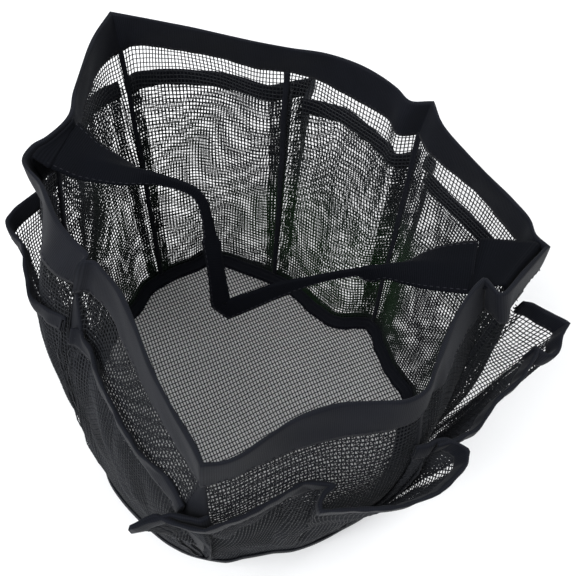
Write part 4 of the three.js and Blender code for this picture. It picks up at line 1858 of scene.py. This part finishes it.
    def tab(self, name: str, seam: int, middle: float, fold_x: float, fold_row: int) -> bpy.types.Object:
        """A sewn tab: a leg on the inside of the hem that turns over to the fold line.

        Args:
            name: the piece's name.
            seam: the seam that it is measured from.
            middle: distance of its middle along the rim from that seam.
            fold_x: place of the fold line.
            fold_row: the strap's row at the fold.

        Returns:
            The piece.
        """
        row = self.rows[fold_row]
        fold_z = self.axis_height - row[1] * self.drop * math.cos(math.radians(self.lean))
        fold_half = row[3] / 2
        stations = np.linspace(-1, 1, self.across_count)
        first, last = (
            self._rim_place(seam, middle + way * self.tab_half, self.axis_height, 0.0) for way in (-1, 1)
        )
        flip = 1.0 if last[1] > first[1] else -1.0
        top = self.tab_top
        sections = []
        legs = np.linspace(self.tab_low, top - 4.0, 6)
        for share in stations:
            distance = middle + share * self.tab_half
            leg = [self._rim_place(seam, distance, height, -self.tab_in) for height in legs]
            crown = self._rim_place(seam, distance, top, -self.tab_in - 0.3)
            end = np.array([fold_x, self.side + flip * share * fold_half, fold_z])
            end[0] += math.copysign(self.tab_overlap, end[0] - crown[0])
            start = leg[-1]
            shoulder = crown + (end - crown) * self.tab_shoulder
            shoulder[2] = top + self.tab_rise
            flat = crown + (end - crown) * 0.35
            bezier = [
                start * (1 - t) ** 3 + 3 * crown * t * (1 - t) ** 2 + 3 * shoulder * t * t * (1 - t) + flat * t**3
                for t in np.linspace(0, 1, 8)[1:]
            ]
            tail = [bezier[-1] + (end - bezier[-1]) * t for t in (0.35, 0.7, 1.0)]
            sections.append(np.array(leg + bezier + tail))
        grid = np.array(sections)
        run = np.gradient(grid, axis=1)
        span = np.gradient(grid, axis=0)
        normal = np.cross(run, span)
        normal /= np.maximum(np.linalg.norm(normal, axis=2, keepdims=True), TINY)
        if normal[self.across_count // 2, -1, 2] < 0:
            normal = -normal
        outer, inner = grid + normal * self.thick / 2, grid - normal * self.thick / 2
        outline = np.concatenate([outer, inner[::-1]], 0).transpose(1, 0, 2)
        return Sweep(name, self.form.place(outline), False).build()


# Stage


@dataclass
class Stage:
    """Floor, lights and camera."""

    form: Form
    lens: float = 60.0
    camera_at: Triple = (63.73, -268.70, 560.0)
    right_flat: Triple = (0.98615, 0.16583, 0.0)
    up_flat: Triple = (-0.1391, 0.8271, 0.5446)
    roll: tuple[float, float] = (0.9903, 0.1392)
    floor_half: float = 6.0
    floor_gap: float = 0.0002
    floor_glow: float = 0.075
    floor_dark: Triple = (0.89, 0.875, 0.865)
    floor_light: Triple = (0.92, 0.905, 0.895)
    sky_colour: Triple = (0.94, 0.97, 1.0)
    sky_strength: float = 0.55
    seen_strength: float = 0.62
    lamp_colour: Triple = (0.95, 0.975, 1.0)
    lamp_aim: Triple = (0.0, 0.0, 0.1)

    def camera(self) -> None:
        """Puts the camera where the photograph was taken from."""
        data = bpy.data.cameras.new("camera")
        data.lens = self.lens
        data.sensor_width = 36.0
        data.clip_start, data.clip_end = 0.01, 20.0
        camera = bpy.data.objects.new("camera", data)
        bpy.context.scene.collection.objects.link(camera)
        flat, rise = np.array(self.right_flat), np.array(self.up_flat)
        cos, sin = self.roll
        right = Vector(cos * flat + sin * rise).normalized()
        up = Vector(cos * rise - sin * flat).normalized()
        back = right.cross(up).normalized()
        up = back.cross(right)
        turn = Matrix((right, up, back)).transposed().to_4x4()
        camera.matrix_world = Matrix.Translation(Vector(self.form.place(np.array(self.camera_at)))) @ turn
        bpy.context.scene.camera = camera

    def floor(self) -> None:
        """A wide pale floor that stays white for the camera and keeps a soft shadow."""
        corners = np.array([(-1, -1, 0), (1, -1, 0), (1, 1, 0), (-1, 1, 0)]) * self.floor_half
        floor = mesh_object("floor", corners - [0, 0, self.floor_gap], [(0, 1, 2, 3)])
        material, nodes, shader = new_material("pale_floor")
        links = material.node_tree.links
        grain = nodes.noise(nodes.object_place(), scale=3.0)
        colour = nodes.ramp(grain, ((0.3, self.floor_dark), (0.7, self.floor_light)))
        links.new(colour.socket, shader.inputs["Base Color"])
        shader.inputs["Roughness"].default_value = 0.7
        shader.inputs["Specular IOR Level"].default_value = 0.2
        glow = nodes.make("ShaderNodeEmission", {}, {"Color": (1, 1, 1, 1), "Strength": 1.0}, "Emission")
        share = nodes.seen() * self.floor_glow
        output = next(n for n in material.node_tree.nodes if n.type == "OUTPUT_MATERIAL")
        mixed = nodes.make("ShaderNodeMixShader", {}, {0: share, 2: glow})
        links.new(shader.outputs[0], mixed.socket.node.inputs[1])
        links.new(mixed.socket, output.inputs["Surface"])
        floor.data.materials.append(material)

    def world(self) -> None:
        """A plain white surround, seen as white and lighting softly."""
        world = bpy.data.worlds.new("surround")
        bpy.context.scene.world = world
        world.use_nodes = True
        nodes = Nodes(world.node_tree)
        background = next(n for n in world.node_tree.nodes if n.type == "BACKGROUND")
        strength = nodes.seen() * self.seen_strength + self.sky_strength
        background.inputs["Color"].default_value = (*self.sky_colour, 1.0)
        world.node_tree.links.new(strength.socket, background.inputs["Strength"])

    def lamp(self, name: str, at: Triple, size: float, power: float) -> None:
        """A soft square lamp that faces the bag.

        Args:
            name: name of the lamp.
            at: its place, in metres.
            size: length of its sides, in metres.
            power: its power, in watts.
        """
        data = bpy.data.lights.new(name, "AREA")
        data.shape = "SQUARE"
        data.size = size
        data.energy = power
        data.color = self.lamp_colour
        lamp = bpy.data.objects.new(name, data)
        bpy.context.scene.collection.objects.link(lamp)
        lamp.location = at
        aim = Vector(self.lamp_aim) - Vector(at)
        lamp.rotation_euler = aim.to_track_quat("-Z", "Y").to_euler()

    def build(self) -> None:
        """Sets the whole stage."""
        self.camera()
        self.floor()
        self.world()
        self.lamp("key_lamp", at=(-0.5, -0.9, 1.3), size=0.9, power=28.5)
        self.lamp("back_lamp", at=(0.6, 0.9, 1.2), size=1.0, power=15.0)
        view = bpy.context.scene.view_settings
        view.view_transform = "Standard"


# The caddy


@dataclass
class Caddy:
    """The whole caddy, piece by piece, each on its body."""

    form: Form
    net: bpy.types.Material = field(init=False)
    inner_net: bpy.types.Material = field(init=False)
    floor_net: bpy.types.Material = field(init=False)
    cloth: bpy.types.Material = field(init=False)
    webbing: bpy.types.Material = field(init=False)
    yarn: bpy.types.Material = field(init=False)

    def __post_init__(self) -> None:
        """Makes the finishes."""
        self.net = NetFinish(
            "black_net", (0.006, 0.0065, 0.0078), (0.022, 0.023, 0.027), back=(0.01, 0.021, 0.0105),
        ).material()
        self.inner_net = NetFinish(
            "wall_net", (0.005, 0.0055, 0.0065), (0.018, 0.019, 0.022), back=(0.008, 0.021, 0.008),
        ).material()
        self.floor_net = NetFinish("floor_net", (0.003, 0.003, 0.006), (0.01, 0.01, 0.018)).material()
        # Each cloth's first colour holds painted shade for the rib valleys, and its second holds painted highlight
        # for the crests
        self.cloth = ClothFinish("ribbed_nylon", (0.002, 0.0023, 0.0036), (0.0076, 0.0084, 0.0124)).material()
        self.webbing = ClothFinish(
            "strap_nylon", (0.0008, 0.001, 0.0017), (0.0028, 0.0032, 0.005), rib_mm=1.1, bump=0.4, sheen=0.01,
            specular=0.03,
        ).material()
        self.yarn = NetFinish("sewing_yarn", (0.005, 0.005, 0.007), (0.02, 0.02, 0.026)).material()

    def keep(
        self, piece: bpy.types.Object, body: Body, nodes: Sequence[str] = (),
        material: bpy.types.Material | None = None,
    ) -> None:
        """Dresses a piece and sets it on its body.

        Args:
            piece: the piece.
            body: the body that it rides on.
            nodes: the CAD nodes that it stands for.
            material: its material, where its mesh has none yet.
        """
        if material is not None:
            piece.data.materials.clear()
            piece.data.materials.append(material)
        if nodes:
            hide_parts(*nodes)
        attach(piece, body.value)
        log.info("%s: %d faces on %s", piece.name, len(piece.data.polygons), body.value)

    def build_nets(self, threads: Tree) -> None:
        """The walls', pockets' and base's nets.

        Args:
            threads: the tree that turns edges into threads.
        """
        nets = Nets(self.form, threads)
        for index, panel in enumerate(PANELS):
            wall = nets.wall(index, self.inner_net)
            self.keep(wall, Body.BAG, (f"wall_net_{panel.name}",))
            tape = nets.tape(index)
            self.keep(tape, Body.BAG, (f"seam_tape_{panel.name}",), self.cloth)
            pocket = nets.pocket(index, self.net)
            self.keep(pocket, Body.BAG, (f"pocket_net_{panel.name}",))
            mouth = self.form.mouth_length(index) * nets.gathered(index)[1] * MM
        base = nets.base(self.floor_net)
        self.keep(base, Body.BAG, ("base_net",))
        edge = nets.floor_line() * MM
        after = np.roll(edge, -1, axis=0)
        area = float(abs((edge[:, 0] * after[:, 1] - edge[:, 1] * after[:, 0]).sum()) / 2)

    def build_bands(self, stitches: Tree) -> None:
        """The cloth bands and their stitches.

        Args:
            stitches: the tree that sets stitches.
        """
        bands = Bands(self.form, stitches)
        hem = bands.hem()
        self.keep(hem, Body.BAG, ("rim_hem",), self.cloth)
        stitched = bands.hem_stitches(self.yarn)
        self.keep(stitched, Body.BAG)
        foot = bands.foot()
        self.keep(foot, Body.BAG, ("base_binding",), self.cloth)
        for index, panel in enumerate(PANELS):
            binding = bands.binding(index)
            self.keep(binding, Body.BAG, (f"pocket_binding_{panel.name}",), self.cloth)
            rows = bands.binding_stitches(index, self.yarn)
            self.keep(rows, Body.BAG)
            mouth = self.form.mouth_length(index) * MM

    def build_strap(self, stitches: Tree) -> None:
        """The strap and its tabs.

        Args:
            stitches: the tree that sets stitches.
        """
        strap = Strap(self.form, stitches)
        swing = strap.strap()
        nodes = ("handle_end_left", "handle_grip", "handle_end_right")
        self.keep(swing, Body.HANDLE, nodes, self.webbing)
        sewn = strap.strap_stitches(self.yarn)
        self.keep(sewn, Body.HANDLE)
        line, _, _, width, _ = strap.frames()
        left = strap.tab("tab_left", seam=4, middle=0.0, fold_x=strap.fold_left - strap.tab_gap, fold_row=0)
        self.keep(left, Body.BAG, ("handle_tab_left",), self.webbing)
        right = strap.tab("tab_right", seam=0, middle=-16.0, fold_x=strap.fold_right + strap.tab_gap, fold_row=-1)
        self.keep(right, Body.BAG, ("handle_tab_right",), self.webbing)


def main() -> None:
    """Builds the stage and the caddy."""
    logging.basicConfig(level=logging.INFO, format="%(name)s: %(message)s")
    hinge = frame["joints"][0]["pos_m"]
    form = Form(np.array([hinge[0], hinge[1] - Strap.side * MM, 0.0]))
    Stage(form).build()
    caddy = Caddy(form)
    caddy.build_nets(thread_tree())
    stitches = stitch_tree()
    caddy.build_bands(stitches)
    caddy.build_strap(stitches)


if __name__ == "__main__":
    main()
